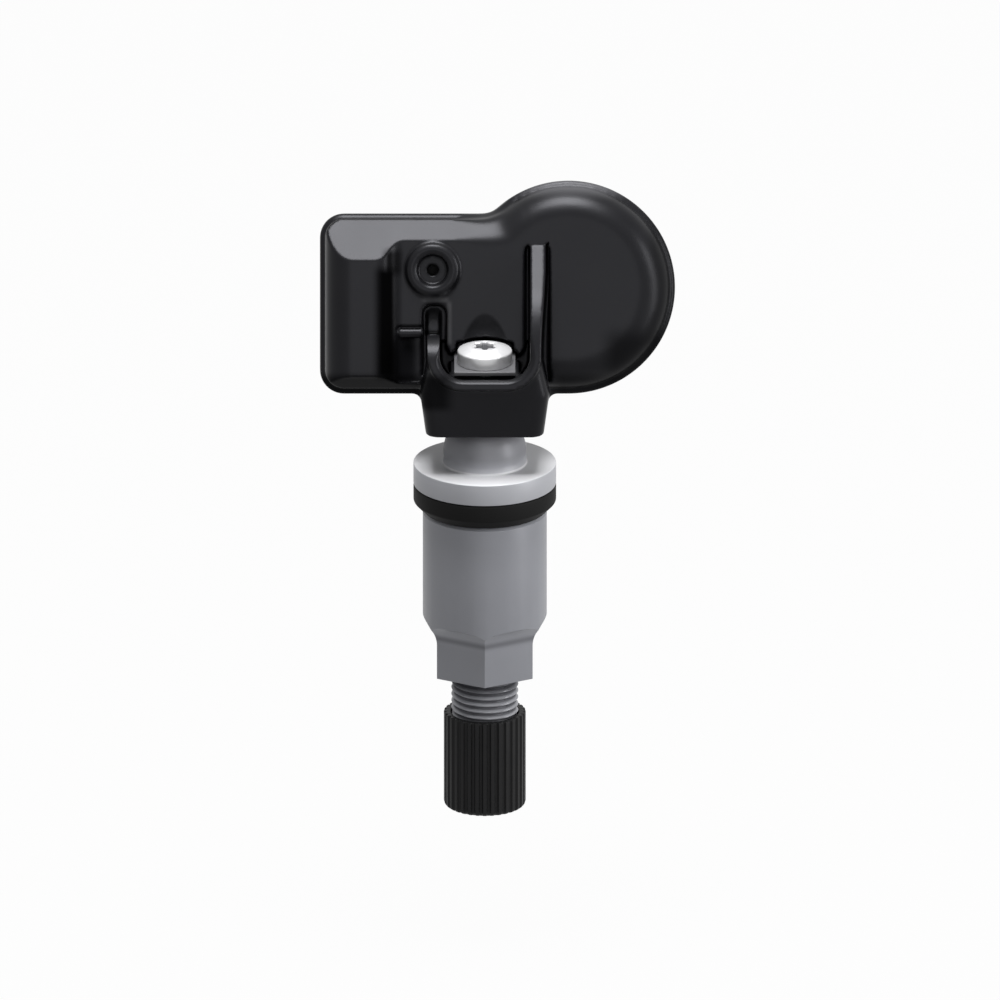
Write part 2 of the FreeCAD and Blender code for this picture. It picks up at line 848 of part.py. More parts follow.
def rim_lip():
    """Chamfer around the inner edge of the U-shaped wall."""
    def wire(grow, w):
        half = pocket_half_w + grow
        return u_profile(-half, half, pocket_floor_u - grow, pocket_corner_r + grow, body_top, w).OuterWire
    return Part.makeLoft([wire(0, rim_w - rim_lip_t), wire(rim_lip_t, rim_w)], True, True)


def saddle_rim():
    """U-shaped wall of the saddle: two arms joined by a rim below the screw."""
    outer_left = -pocket_half_w - arm_left_t
    outer_right = pocket_half_w + arm_right_t
    floor = pocket_floor_u - rim_t
    corner = pocket_corner_r + rim_t
    wall_u = u_profile(outer_left, outer_right, floor, corner, right_ramp_top_u, slot_floor_w - inner_wall)
    wall_u = wall_u.extrude(Vector(0, slot_floor_w - inner_wall - rim_w, 0))
    wall_u = wall_u.cut(pocket_tool(slot_floor_w - wall, rim_w + wall, body_top))
    low = pocket_floor_u - 2 * rim_t
    root = slot_floor_w - inner_wall
    round_u_top = left_arm_top_u - left_arm_round
    round_w = rim_w - left_arm_round
    left_view = face_of([
        line(point(outer_left, low, root), point(outer_left, low, rim_w)),
        line(point(outer_left, low, rim_w), point(outer_left, round_u_top, rim_w)),
        arc(point(outer_left, round_u_top, rim_w),
            point(outer_left, round_u_top + left_arm_round * math.sqrt(0.5),
                  round_w + left_arm_round * math.sqrt(0.5)),
            point(outer_left, left_arm_top_u, round_w)),
        line(point(outer_left, left_arm_top_u, round_w), point(outer_left, left_arm_top_u, left_rib_w)),
        line(point(outer_left, left_arm_top_u, left_rib_w),
             point(outer_left, left_slot_top_u, left_rib_w - wall)),
        line(point(outer_left, left_slot_top_u, left_rib_w - wall), point(outer_left, left_slot_top_u, root)),
        line(point(outer_left, left_slot_top_u, root), point(outer_left, low, root)),
    ]).extrude(Vector(-outer_left, 0, 0))
    slope = math.atan2(rim_w - panel_w, right_ramp_top_u - right_ramp_foot_u)
    reach = right_ramp_bend_r * math.tan(slope / 2)
    start_u = right_ramp_foot_u - reach
    end_u, end_w = right_ramp_foot_u + reach * math.cos(slope), rim_w - reach * math.sin(slope)
    side, up = right_ramp_bend_r * math.sin(slope / 2), right_ramp_bend_r * (1 - math.cos(slope / 2))
    right_view = face_of([
        line(point(0, low, root), point(0, low, rim_w)),
        line(point(0, low, rim_w), point(0, start_u, rim_w)),
        arc(point(0, start_u, rim_w), point(0, start_u + side, rim_w - up), point(0, end_u, end_w)),
        line(point(0, end_u, end_w), point(0, right_ramp_top_u, panel_w)),
        line(point(0, right_ramp_top_u, panel_w), point(0, right_ramp_top_u, root)),
        line(point(0, right_ramp_top_u, root), point(0, low, root)),
    ]).extrude(Vector(outer_right, 0, 0))
    return wall_u.common(left_view.fuse(right_view))


def slot_voids():
    """Slots that the arms rise from, beside the tongue."""
    left = rounded_block(left_slot_x, tongue_left_x, body_bottom - wall, left_slot_top_u,
                         slot_floor_w, rim_w, slot_corner_r)
    right = rounded_block(tongue_right_x, right_slot_x, body_bottom - wall, right_slot_top_u,
                          slot_floor_w, rim_w, slot_corner_r)
    return left.fuse(right)


def recess_void():
    """Hollow beside the left arm that deepens the block's side in a round sweep."""
    height = recess_top_u - recess_bottom_u
    sweep = Part.makeCylinder(recess_r, height, point(recess_x, recess_bottom_u, recess_w + recess_r), axis_z)
    return sweep.fuse(block(recess_x, left_slot_x + wall, recess_bottom_u, recess_top_u, recess_w, rim_w))


def cross_bar():
    """Small round bar that bridges the recess."""
    left = recess_x - recess_r - wall / 2
    length = left_slot_x + free_gap - left
    return Part.makeCylinder(bar_r, length, point(left, bar_u, bar_w), axis_x)


def saddle_voids():
    """Ball socket, screw slot, washer track, head notch and driver relief."""
    socket = Part.makeSphere(ball_r + running_fit)
    shank = screw_d / 2 + free_gap
    front = mount_angle + slot_half_angle_front
    back = mount_angle - slot_half_angle_back
    slot = ring_section(head_base, running_fit, shank, back, front)
    ends = []
    for angle in (back, front):
        end = Part.makeCylinder(shank, head_base)
        end.rotate(Vector(), axis_x, angle)
        ends.append(end)
    track = ring_section(track_top_r, seat_r, washer_side / 2 + free_gap, track_back_angle, track_front_angle)
    notch = ring_section(head_reach, seat_r, screw_head_d / 2 + free_gap, notch_back_angle, track_front_angle)
    notch = notch.common(Part.makeSphere(head_reach))
    relief = to_housing_frame(rod(driver_relief_r, head_base, 3 * seat_r))
    return [socket, slot, track, notch, relief] + ends


def tongue():
    """Panel tongue that hangs between the arms, down to the screw."""
    solid = block(tongue_left_x, tongue_right_x, tongue_bottom_u, body_top / 2 + wall, pocket_back_w, panel_w)
    edges = [e for e in solid.Edges if abs(e.tangentAt(e.FirstParameter).y) > 0.9
             and abs(e.CenterOfMass.z - tongue_bottom_u) < 1e-6]
    return solid.makeFillet(tongue_corner_r, edges)


def case_cavity():
    """Room for the board, its parts and the coin cell, open at the back."""
    rear = slab(wall, back_w, board_w)
    rebate = slab(cover_rebate, back_w - wall, cover_w)
    inner = wall + board_ledge
    left = body_left + ledge_step + inner
    block_room = block(left, block_flat_end + wall, body_bottom + inner, top_facet_u - wall, board_w, panel_w)
    floor_w = block_w - (body_top - top_facet_u) * math.tan(math.radians(top_facet_angle)) - wall
    top = block(left, tongue_left_x, pocket_roof_u + inner, body_top - inner,
                board_w, slot_floor_w - inner_wall)
    top = top.common(block(left, tongue_left_x, 0, body_top - inner, board_w, floor_w))
    reach = chip_side / 2 + board_gap
    chip_room = block(port_x - reach, port_x + reach, port_u - reach, port_u + reach,
                      board_w, chip_front + free_gap)
    gasket_room = disc(port_boss_r, port_x, port_u, board_w, chip_front + gasket_t)
    well = disc(cell_d / 2 + cell_gap, round_x, round_u, board_w, cell_front_w + tab_t)
    tab_reach = tab_w / 2 + board_gap
    tab_room = block(tab_x - board_gap, round_x, round_u - tab_reach, round_u + tab_reach,
                     board_w, cell_front_w + tab_t)
    return [rear, rebate, block_room, top, chip_room, gasket_room, well, tab_room]


def screw_seat():
    """Round seat for the washer, about the tilt axis, between the arms."""
    arch = ring_section(seat_r, ball_r, washer_side / 2 + seat_side, seat_back_angle, track_front_angle)
    return arch.common(block(-body_top, body_top, body_bottom, body_top,
                             pocket_back_w - inner_wall, seat_front_w))


def port_boss():
    """Tube inside the case, from the port's floor down to the sensor chip's gasket."""
    return disc(port_boss_r, port_x, port_u, chip_front + gasket_t, panel_w - port_floor_drop)


def port_bore():
    """Air way of the port and the seat of its filter."""
    bore = disc(port_hole_r, port_x, port_u, board_w, panel_w)
    return bore.fuse(disc(filter_r, port_x, port_u, chip_front, chip_front + gasket_t + filter_t))


def housing():
    """Moulded case with the saddle, arms, port ring and an open back."""
    solid = body_block().fuse(port_ring())
    solid = solid.cut([port_well(), slot_voids(), recess_void()])
    solid = solid.cut(pocket_tool(pocket_back_w, rim_w + wall, pocket_roof_u))
    solid = solid.fuse([saddle_block(), saddle_rim(), screw_seat(), tongue(), cross_bar()] + saddle_root())
    solid = solid.cut(saddle_voids() + [rim_lip()])
    solid = solid.cut(case_cavity())
    return solid.fuse(port_boss()).cut(port_bore()).removeSplitter()


# What the housing holds

def rear_cover():
    """Flat cover welded into the rebate around the open back."""
    plate = slab(cover_rebate + insert_gap, back_w, cover_w)
    return plate.makeChamfer(cover_chamfer, edges_at(plate, back_w))


def circuit_board():
    """Board cut to the inside of the case, with a round bite beside the coin cell."""
    board = slab(wall + board_gap, board_w - board_t, board_w)
    bite = disc(cell_d / 2 + cell_gap + board_gap, round_x, round_u, back_w, panel_w)
    right = block(round_x, 2 * round_r, body_bottom, body_top + round_r, back_w, panel_w)
    return board.cut([bite, right]).Solids[0]


def coin_cell():
    """Lithium coin cell: a wide can with a smaller crimped cap towards the back."""
    can_t = cell_t - cell_cap_t
    can = disc(cell_d / 2, round_x, round_u, cell_front_w - can_t, cell_front_w)
    rim = [e for e in can.Edges if abs(e.CenterOfMass.y + cell_front_w) < 1e-6]
    can = can.makeChamfer(cell_cap_t / 2, rim)
    cap = disc(cell_cap_d / 2, round_x, round_u, cell_back_w, cell_front_w - can_t)
    return can.fuse(cap).removeSplitter()


def battery_tab_front():
    """Tab spot-welded to the can's face, bent down to the board beside the cell."""
    low, high = round_u - tab_w / 2, round_u + tab_w / 2
    flat = block(tab_x, round_x, low, high, cell_front_w, cell_front_w + tab_t)
    leg = block(tab_x, tab_x + tab_t, low, high, board_w, cell_front_w)
    return flat.fuse(leg).removeSplitter()


def battery_tab_back():
    """Tab spot-welded to the cell's small cap, stepped up to the back of the board."""
    low, high = round_u - tab_w / 2, round_u + tab_w / 2
    step = board_w - board_t
    flat = block(tab_x, round_x, low, high, cell_back_w - tab_t, cell_back_w)
    leg = block(tab_x, tab_x + tab_t, low, high, cell_back_w - tab_t, step)
    foot = block(tab_x - tab_foot, tab_x + tab_t, low, high, step - tab_t, step)
    return flat.fuse([leg, foot]).removeSplitter()


def sensor_chip():
    """Pressure sensor package under the port, with its vent hole."""
    half = chip_side / 2
    body = block(port_x - half, port_x + half, port_u - half, port_u + half, board_w, chip_front)
    return body.cut(disc(port_hole_r, port_x, port_u, chip_front - chip_lid_t, chip_front))


def port_gasket():
    """Soft ring pinched between the case's port tube and the sensor chip."""
    ring_body = disc(gasket_r, port_x, port_u, chip_front, chip_front + gasket_t)
    return ring_body.cut(disc(filter_r, port_x, port_u, chip_front, chip_front + gasket_t))


def port_filter():
    """Porous disc that keeps dust and sealant out of the sensor."""
    base = chip_front + gasket_t
    return disc(filter_r, port_x, port_u, base, base + filter_t)


def coil_core():
    """Ferrite bobbin of the low-frequency coil, with square end flanges."""
    low, high = coil_u - coil_len / 2, coil_u + coil_len / 2
    inset = coil_wire_t
    bar = block(coil_x - coil_w / 2 + inset, coil_x + coil_w / 2 - inset, low, high,
                board_w + inset, board_w + coil_t - inset)
    ends = [block(coil_x - coil_w / 2, coil_x + coil_w / 2, u, u + coil_flange, board_w, board_w + coil_t)
            for u in (low, high - coil_flange)]
    return bar.fuse(ends).removeSplitter()


def coil_winding():
    """Copper winding around the ferrite bobbin."""
    low, high = coil_u - coil_len / 2 + coil_flange, coil_u + coil_len / 2 - coil_flange
    out, into = coil_wire_t * 0.2, coil_wire_t
    x0, x1 = coil_x - coil_w / 2, coil_x + coil_w / 2
    sleeve = block(x0 + out, x1 - out, low, high, board_w + out, board_w + coil_t - out)
    return sleeve.cut(block(x0 + into, x1 - into, low, high, board_w + into, board_w + coil_t - into))


def crystal():
    """Metal-lidded crystal that sets the radio's frequency."""
    return block(crystal_x, crystal_x + crystal_w, crystal_u, crystal_u + crystal_l,
                 board_w, board_w + crystal_t)


def antenna():
    """Stamped strip bent into a U that stands on the board."""
    x0, x1 = antenna_x, antenna_x + antenna_l
    front, base = board_w + antenna_h, board_w
    strip = block(x0, x1, antenna_u, antenna_u + antenna_w, front - antenna_t, front)
    legs = [block(x, x + antenna_t, antenna_u, antenna_u + antenna_w, base, front - antenna_t)
            for x in (x0, x1 - antenna_t)]
    return strip.fuse(legs).removeSplitter()


def chip_parts():
    """Capacitors and resistors on the board, a group of small blocks in two rows."""
    pieces = []
    for row in range(chip_part_rows):
        for i in range(chip_part_columns):
            x = chip_part_x + i * chip_part_pitch
            u = chip_part_u + row * chip_part_pitch
            pieces.append(block(x, x + chip_part_w, u, u + chip_part_l, board_w, board_w + chip_part_t))
    return Part.makeCompound(pieces)


def main():
    os.makedirs("parts", exist_ok=True)
    pieces = {
        "valve_stem": valve_stem(),
        "grommet": grommet(),
        "fixing_screw": fixing_screw(),
        "saddle_washer": saddle_washer(),
        "core_body": core_body(),
        "core_gasket": core_gasket(),
        "core_pin": core_pin(),
        "core_cup_seal": core_cup_seal(),
        "core_spring": core_spring(),
        "collar_nut": collar_nut(),
        "valve_cap": valve_cap(),
        "cap_seal": cap_seal(),
    }
    leaning = {
        "housing": housing(),
        "rear_cover": rear_cover(),
        "circuit_board": circuit_board(),
        "coin_cell": coin_cell(),
        "battery_tab_front": battery_tab_front(),
        "battery_tab_back": battery_tab_back(),
        "sensor_chip": sensor_chip(),
        "port_gasket": port_gasket(),
        "port_filter": port_filter(),
        "coil_core": coil_core(),
        "coil_winding": coil_winding(),
        "crystal": crystal(),
        "antenna": antenna(),
        "chip_parts": chip_parts(),
    }
    for name, shape in leaning.items():
        pieces[name] = to_rest(shape)
    for name, shape in pieces.items():
        print(name, shape.isValid(), len(shape.Solids), round(shape.Volume, 2))
        shape.exportStep("parts/" + name + ".step")


main()
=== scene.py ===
"""Dressed model of a clamp-in tyre pressure sensor.

It adds the finishes, the valve's thread, the cap's ribs, the moulding's radii, the light and the camera.
"""
import logging
import math
from dataclasses import dataclass, field
from enum import Enum
from typing import Any, Callable

import bmesh
import bpy
import numpy as np
from mathutils import Matrix, Vector


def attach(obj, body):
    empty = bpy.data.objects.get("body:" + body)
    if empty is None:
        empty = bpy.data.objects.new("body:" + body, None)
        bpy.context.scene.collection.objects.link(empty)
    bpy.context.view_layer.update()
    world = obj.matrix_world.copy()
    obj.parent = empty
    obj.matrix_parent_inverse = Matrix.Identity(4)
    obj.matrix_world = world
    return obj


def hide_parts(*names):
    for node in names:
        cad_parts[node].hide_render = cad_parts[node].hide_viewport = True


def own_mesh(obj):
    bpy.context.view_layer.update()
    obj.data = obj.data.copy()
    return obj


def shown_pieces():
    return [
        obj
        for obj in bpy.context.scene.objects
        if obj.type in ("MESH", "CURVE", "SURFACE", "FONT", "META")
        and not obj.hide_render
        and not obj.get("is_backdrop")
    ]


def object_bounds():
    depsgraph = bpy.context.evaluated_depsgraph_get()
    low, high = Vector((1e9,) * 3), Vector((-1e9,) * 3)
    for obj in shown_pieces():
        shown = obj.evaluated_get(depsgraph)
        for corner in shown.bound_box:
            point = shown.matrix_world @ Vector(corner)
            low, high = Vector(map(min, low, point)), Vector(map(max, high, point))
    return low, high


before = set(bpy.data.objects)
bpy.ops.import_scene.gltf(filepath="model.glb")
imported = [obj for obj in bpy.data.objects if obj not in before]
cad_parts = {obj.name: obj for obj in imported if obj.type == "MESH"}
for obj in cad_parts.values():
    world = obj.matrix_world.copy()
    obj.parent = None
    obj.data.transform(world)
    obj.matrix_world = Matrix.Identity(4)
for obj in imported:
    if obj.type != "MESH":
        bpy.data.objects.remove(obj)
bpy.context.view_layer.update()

MM = 0.001
LOG = logging.getLogger("sensor")
OWN_PLACE = "own_place"

# A Mix node has sockets of the same names for numbers, vectors and colours. These are the colours' ones.
MIX_FACTOR, MIX_FIRST, MIX_SECOND, MIX_RESULT = 0, 6, 7, 2

# Gaps in millimetres up to which points count as one, on a new surface and on a copied CAD node.
POLE_GAP = 0.0005
CAD_GAP = 0.002

# Points on the arc of a rounded corner, and how near to straight, in radians, a corner stays as it is.
ARC_POINTS = 5
STRAIGHT = 0.02

Triple = tuple[float, float, float]
Profile = list[Triple]
Bulge = Callable[[np.ndarray, np.ndarray, np.ndarray], np.ndarray]


class Lines(Enum):
    """Which way a finish's fine lines run, as the factors that stretch their noise along x, y and z."""

    TURNED = (0.02, 0.02, 1.0)
    DRAWN = (1.0, 0.03, 0.03)
    NONE = (0.0, 0.0, 0.0)


class Sock:
    """An output socket that takes part in plain arithmetic."""

    def __init__(self, graph: "Graph", socket: Any) -> None:
        """Keeps the graph and the socket."""
        self.graph = graph
        self.socket = socket

    def _math(self, operation: str, first: Any, second: Any, clamp: bool = False) -> "Sock":
        """Adds one Math node and returns its value."""
        settings = {"operation": operation, "use_clamp": clamp}
        return self.graph.make("ShaderNodeMath", settings, {0: first, 1: second}).out()

    def __add__(self, other: Any) -> "Sock":
        """Sum."""
        return self._math("ADD", self, other)

    __radd__ = __add__

    def __sub__(self, other: Any) -> "Sock":
        """Difference."""
        return self._math("SUBTRACT", self, other)

    def __rsub__(self, other: Any) -> "Sock":
        """Reflected difference, so that 1 - mask works."""
        return self._math("SUBTRACT", other, self)

    def __mul__(self, other: Any) -> "Sock":
        """Product."""
        return self._math("MULTIPLY", self, other)

    __rmul__ = __mul__

    def absolute(self) -> "Sock":
        """The value without its sign."""
        return self._math("ABSOLUTE", self, 0.0)

    def clamped(self) -> "Sock":
        """The value kept between 0 and 1."""
        return self._math("ADD", self, 0.0, clamp=True)


class Node:
    """One shader node of a graph."""

    def __init__(self, graph: "Graph", node: Any) -> None:
        """Keeps the graph and the node."""
        self.graph = graph
        self.node = node

    def out(self, name: Any = 0) -> Sock:
        """One of the node's outputs."""
        return Sock(self.graph, self.node.outputs[name])


class Graph:
    """The node tree of one material or world."""

    def __init__(self, tree: Any) -> None:
        """Keeps the tree and empties it."""
        self.tree = tree
        tree.nodes.clear()

    def make(self, kind: str, settings: dict[str, Any] | None = None,
             inputs: dict[Any, Any] | None = None) -> Node:
        """Adds a node.

        Args:
            kind: the node's type name.
            settings: its own settings, set first.
            inputs: values or linked sockets for its input sockets.

        Returns:
            The wrapped node.
        """
        node = self.tree.nodes.new(kind)
        for key, value in (settings or {}).items():
            setattr(node, key, value)
        for key, value in (inputs or {}).items():
            if isinstance(value, Sock):
                self.tree.links.new(value.socket, node.inputs[key])
            else:
                node.inputs[key].default_value = value
        return Node(self, node)

    def noise(self, scale: float, detail: float, stretch: Triple = (1.0, 1.0, 1.0)) -> Sock:
        """Noise on Object coordinates.

        Args:
            scale: features to the metre.
            detail: octaves.
            stretch: factor on each coordinate before the noise.

        Returns:
            The noise, about 0 to 1.
        """
        where = self.make("ShaderNodeTexCoord").out("Object")
        mapped = self.make("ShaderNodeMapping", {}, {"Vector": where, "Scale": stretch}).out()
        inputs = {"Vector": mapped, "Scale": scale, "Detail": detail}
        return self.make("ShaderNodeTexNoise", {}, inputs).out("Fac")

    def blend(self, factor: Any, first: Any, second: Any) -> Sock:
        """Mixes two colours by a factor."""
        inputs = {MIX_FACTOR: factor, MIX_FIRST: first, MIX_SECOND: second}
        return self.make("ShaderNodeMix", {"data_type": "RGBA"}, inputs).out(MIX_RESULT)

    def bump(self, height: Sock, strength: float, distance: float, below: Sock | None = None) -> Sock:
        """Turns a height between 0 and 1 into a normal.

        Args:
            height: the height.
            strength: how much of the bump is kept.
            distance: depth of the bump, in metres.
            below: a normal that this bump is laid over.

        Returns:
            The normal.
        """
        inputs = {"Height": height, "Strength": strength, "Distance": distance}
        if below is not None:
            inputs["Normal"] = below
        return self.make("ShaderNodeBump", {}, inputs).out()


def smooth_step(low: float, high: float, value: np.ndarray) -> np.ndarray:
    """0 below low, 1 above high, and t^2 (3 - 2t) between them."""
    share = np.clip((value - low) / (high - low), 0.0, 1.0)
    return share * share * (3 - 2 * share)


def vertex_places(made: bpy.types.Object) -> np.ndarray:
    """Reads an object's vertices.

    Args:
        made: the object.

    Returns:
        Rows of (x, y, z), in millimetres.
    """
    flat = np.empty(3 * len(made.data.vertices))
    made.data.vertices.foreach_get("co", flat)
    return flat.reshape(-1, 3) / MM


def round_places(made: bpy.types.Object) -> np.ndarray:
    """Rows of (distance from the valve's axis, x, z) of an object's vertices, in millimetres."""
    x, y, z = vertex_places(made).T
    return np.stack([np.hypot(x, y), x, z], axis=1)


def move_vertices(made: bpy.types.Object, shift: np.ndarray) -> None:
    """Moves an object's vertices by rows of (x, y, z), in millimetres."""
    made.data.vertices.foreach_set("co", ((vertex_places(made) + shift) * MM).ravel())
    made.data.update()


def store_places(made: bpy.types.Object, places: np.ndarray) -> None:
    """Stores the places that a finish's patches are measured in, one row a vertex."""
    layer = made.data.attributes.new(OWN_PLACE, "FLOAT_VECTOR", "POINT")
    layer.data.foreach_set("vector", np.ascontiguousarray(places, dtype=np.float32).ravel())


def rgba(colour: Triple) -> tuple[float, float, float, float]:
    """Adds full cover to a colour."""
    return (*colour, 1.0)


@dataclass(frozen=True)
class Patch:
    """A soft box, in the places stored on a mesh, in which a finish runs to a plain matt colour that paints
    shade or a highlight.

    Attributes:
        middle: centre of the box, in millimetres.
        flat: how far the patch is at full strength, each way along each axis.
        slope: how much further it fades out.
        colour: the matt colour.
        strength: share of the matt colour at full strength.
    """

    middle: Triple
    flat: Triple
    slope: Triple
    colour: Triple
    strength: float = 1.0

    def share(self, graph: Graph, place: Node) -> Sock:
        """Strength times the product, over the axes, of 1 within flat of the middle and 0 beyond the slope.

        Args:
            graph: the material's graph.
            place: the node that splits the mesh's own place into its three axes.

        Returns:
            The matt colour's share, from 0 to 1.
        """
        total = None
        for axis, (middle, flat, slope) in enumerate(zip(self.middle, self.flat, self.slope)):
            inside = graph.make("ShaderNodeMapRange", {"interpolation_type": "SMOOTHSTEP"}, {
                "Value": (place.out(axis) - middle).absolute(), "From Min": flat,
                "From Max": flat + slope, "To Min": 1.0, "To Max": 0.0,
            }).out()
            total = inside if total is None else total * inside
        return total * self.strength


@dataclass(frozen=True)
class Finish:
    """A finish with fine grain, broad unevenness and, if wanted, tool lines.

    Attributes:
        name: the material's name.
        colour: colour at one end of the cloud noise.
        tint: colour at its other end.
        roughness: mean roughness.
        rough_spread: how far the roughness strays from its mean.
        metallic: share of metal.
        specular: level of the plain reflection.
        grain: the grain's features to the metre, followed by its depth in metres and its strength.
        fine_detail: octaves of the grain and the lines.
        cloud: the broad unevenness's features to the metre, followed by its octaves.
        cloud_gain: factor on the cloud noise before it mixes the colours.
        cloud_cut: what is then taken off it.
        lines: which way fine lines run.
        line_scale: the lines' features to the metre, followed by their depth in metres and their strength.
        coat: weight of a clear coat, followed by its roughness.
        gloss: colour of the plain reflection.
        patches: soft matt patches of painted shade and painted highlight over the finish.
    """

    name: str
    colour: Triple
    tint: Triple
    roughness: float
    rough_spread: float = 0.06
    metallic: float = 0.0
    specular: float = 0.5
    grain: float = 4000.0
    grain_depth: float = 0.008 * MM
    grain_strength: float = 0.4
    fine_detail: float = 2.0
    cloud: float = 160.0
    cloud_detail: float = 3.0
    cloud_gain: float = 1.6
    cloud_cut: float = 0.3
    lines: Lines = Lines.NONE
    line_scale: float = 9000.0
    line_depth: float = 0.006 * MM
    line_strength: float = 0.25
    coat: float = 0.0
    coat_roughness: float = 0.2
    gloss: Triple = (1.0, 1.0, 1.0)
    patches: tuple[Patch, ...] = ()

    def material(self) -> bpy.types.Material:
        """Builds the material.

        Returns:
            A node material. Colour runs from colour to tint by a cloud noise, roughness spreads
            about its mean by the same noise, and the bump sums grain and lines. The
            patches then lie over the finish, in order, and paint shade and highlights into it.
        """
        made = bpy.data.materials.new(self.name)
        made.use_nodes = True
        graph = Graph(made.node_tree)
        cloud = graph.noise(self.cloud, self.cloud_detail)
        grain = graph.noise(self.grain, self.fine_detail)
        share = (cloud * self.cloud_gain - self.cloud_cut).clamped()
        colour = graph.blend(share, rgba(self.colour), rgba(self.tint))
        rough = cloud * (2 * self.rough_spread) + (self.roughness - self.rough_spread)
        normal = graph.bump(grain, self.grain_strength, self.grain_depth)
        if self.lines is not Lines.NONE:
            lines = graph.noise(self.line_scale, self.fine_detail, self.lines.value)
            rough = rough + (lines - 0.5) * self.rough_spread
            normal = graph.bump(lines, self.line_strength, self.line_depth, normal)
        shader = graph.make("ShaderNodeBsdfPrincipled", {}, {
            "Base Color": colour, "Roughness": rough.clamped(), "Metallic": self.metallic,
            "Specular IOR Level": self.specular, "Coat Weight": self.coat,
            "Coat Roughness": self.coat_roughness, "Normal": normal,
            "Specular Tint": rgba(self.gloss),
        }).out()
        if self.patches:
            own = graph.make("ShaderNodeAttribute", {"attribute_name": OWN_PLACE}).out("Vector")
            place = graph.make("ShaderNodeSeparateXYZ", {}, {0: own})
            # Each patch mixes in a matt colour that paints shade or a highlight over the finish.
            for patch in self.patches:
                matt = graph.make("ShaderNodeBsdfDiffuse", {}, {"Color": rgba(patch.colour)}).out()
                cover = patch.share(graph, place)
                shader = graph.make("ShaderNodeMixShader", {}, {0: cover, 1: shader, 2: matt}).out()
        graph.make("ShaderNodeOutputMaterial", {}, {"Surface": shader})
        return made


# Matt colours of painted light on the case: the first paints shade, the second paints highlights on the
# left arm's edges.
SHADE_BLACK = (0.0012, 0.0012, 0.0013)
LIP_HIGHLIGHT = (0.1, 0.1, 0.105)
COOL = (0.93, 0.935, 1.0)

# Patches of painted light in the housing's own frame. The black ones paint shade on the step beside the
# left block, the far right, the undersides and the groove in the left arm. The paler ones paint highlights
# on the top and the left arm's edges.
CASE_PATCHES = (
    Patch((-11.3, 14.6, 0.0), (0.4, 5.6, 8.0), (1.5, 1.4, 2.0), SHADE_BLACK),
    Patch((-10.6, 21.6, 0.0), (0.3, 0.8, 8.0), (1.3, 1.2, 2.0), SHADE_BLACK, 0.8),
    Patch((21.5, 20.0, 0.0), (1.8, 8.0, 8.0), (1.6, 3.0, 2.0), SHADE_BLACK, 0.4),
    Patch((17.5, 10.8, 0.0), (2.2, 1.4, 8.0), (2.6, 2.6, 2.0), SHADE_BLACK, 0.55),
    Patch((-12.0, 6.6, 0.0), (7.0, 1.4, 9.0), (2.0, 1.2, 2.0), SHADE_BLACK, 0.7),
    Patch((16.0, 6.6, 0.0), (7.0, 1.4, 9.0), (2.0, 1.2, 2.0), SHADE_BLACK, 0.55),
    Patch((-6.1, 13.5, 1.5), (0.7, 0.1, 1.6), (0.3, 0.35, 0.6), SHADE_BLACK, 0.9),
    Patch((10.5, 30.9, 0.0), (3.5, 0.2, 4.0), (6.5, 2.2, 2.0), (0.22, 0.22, 0.235), 0.24),
    Patch((-5.7, 17.3, 2.3), (1.1, 0.06, 0.6), (0.7, 0.4, 0.6), LIP_HIGHLIGHT, 0.35),
    Patch((-4.1, 14.6, 2.3), (0.06, 2.0, 0.6), (0.4, 0.8, 0.6), LIP_HIGHLIGHT, 0.35),
)

# Patches of painted light by distance from the valve's axis, x and height: painted shade on the ball neck,
# a painted highlight on the flange's top, painted shade in the thread's grooves and on the shank below the
# nut, then painted shade in the hollows above the nut's flats and in the screw's recess.
VALVE_PATCHES = (
    Patch((0.0, 0.0, 7.0), (9.0, 9.0, 2.6), (1.0, 1.0, 1.8), (0.12, 0.12, 0.13), 0.6),
    Patch((0.0, 0.0, 2.6), (9.0, 9.0, 0.08), (1.0, 1.0, 0.1), (0.9, 0.9, 0.9), 0.32),
    Patch((3.42, 0.0, -30.0), (0.04, 9.0, 8.0), (0.26, 1.0, 0.5), (0.03, 0.03, 0.035), 0.8),
    Patch((3.6, 0.0, -23.2), (0.4, 9.0, 0.9), (0.1, 1.0, 1.6), (0.04, 0.04, 0.045), 0.6),
)
NUT_PATCHES = (Patch((5.9, 0.0, -17.6), (0.5, 9.0, 0.15), (0.45, 1.0, 0.8), (0.03, 0.03, 0.034), 0.5),)
SCREW_PATCHES = (Patch((0.0, 0.0, 15.3), (1.45, 9.0, 0.9), (0.1, 1.0, 0.45), (0.2, 0.2, 0.21)),)

CASE = Finish("case_plastic", (0.004, 0.004, 0.0048), (0.006, 0.006, 0.0068), 0.34, rough_spread=0.03,
              specular=0.14, grain=5200.0, grain_depth=0.006 * MM, grain_strength=0.35,
              gloss=COOL, patches=CASE_PATCHES)
COVER = Finish("cover_plastic", (0.004, 0.004, 0.0048), (0.006, 0.006, 0.0068), 0.38, specular=0.15,
               gloss=COOL)
VALVE = Finish("valve_metal", (0.33, 0.335, 0.36), (0.36, 0.365, 0.39), 0.42, metallic=0.15,
               lines=Lines.TURNED, patches=VALVE_PATCHES)
NUT = Finish("nut_metal", (0.215, 0.22, 0.242), (0.24, 0.245, 0.268), 0.40, metallic=0.12,
             lines=Lines.TURNED, patches=NUT_PATCHES)
SCREW = Finish("screw_steel", (0.60, 0.60, 0.61), (0.66, 0.66, 0.67), 0.30, metallic=0.35,
               lines=Lines.TURNED, line_strength=0.12, patches=SCREW_PATCHES)
WASHER = Finish("washer_steel", (0.10, 0.10, 0.11), (0.15, 0.15, 0.155), 0.32, metallic=0.3,
                lines=Lines.DRAWN)
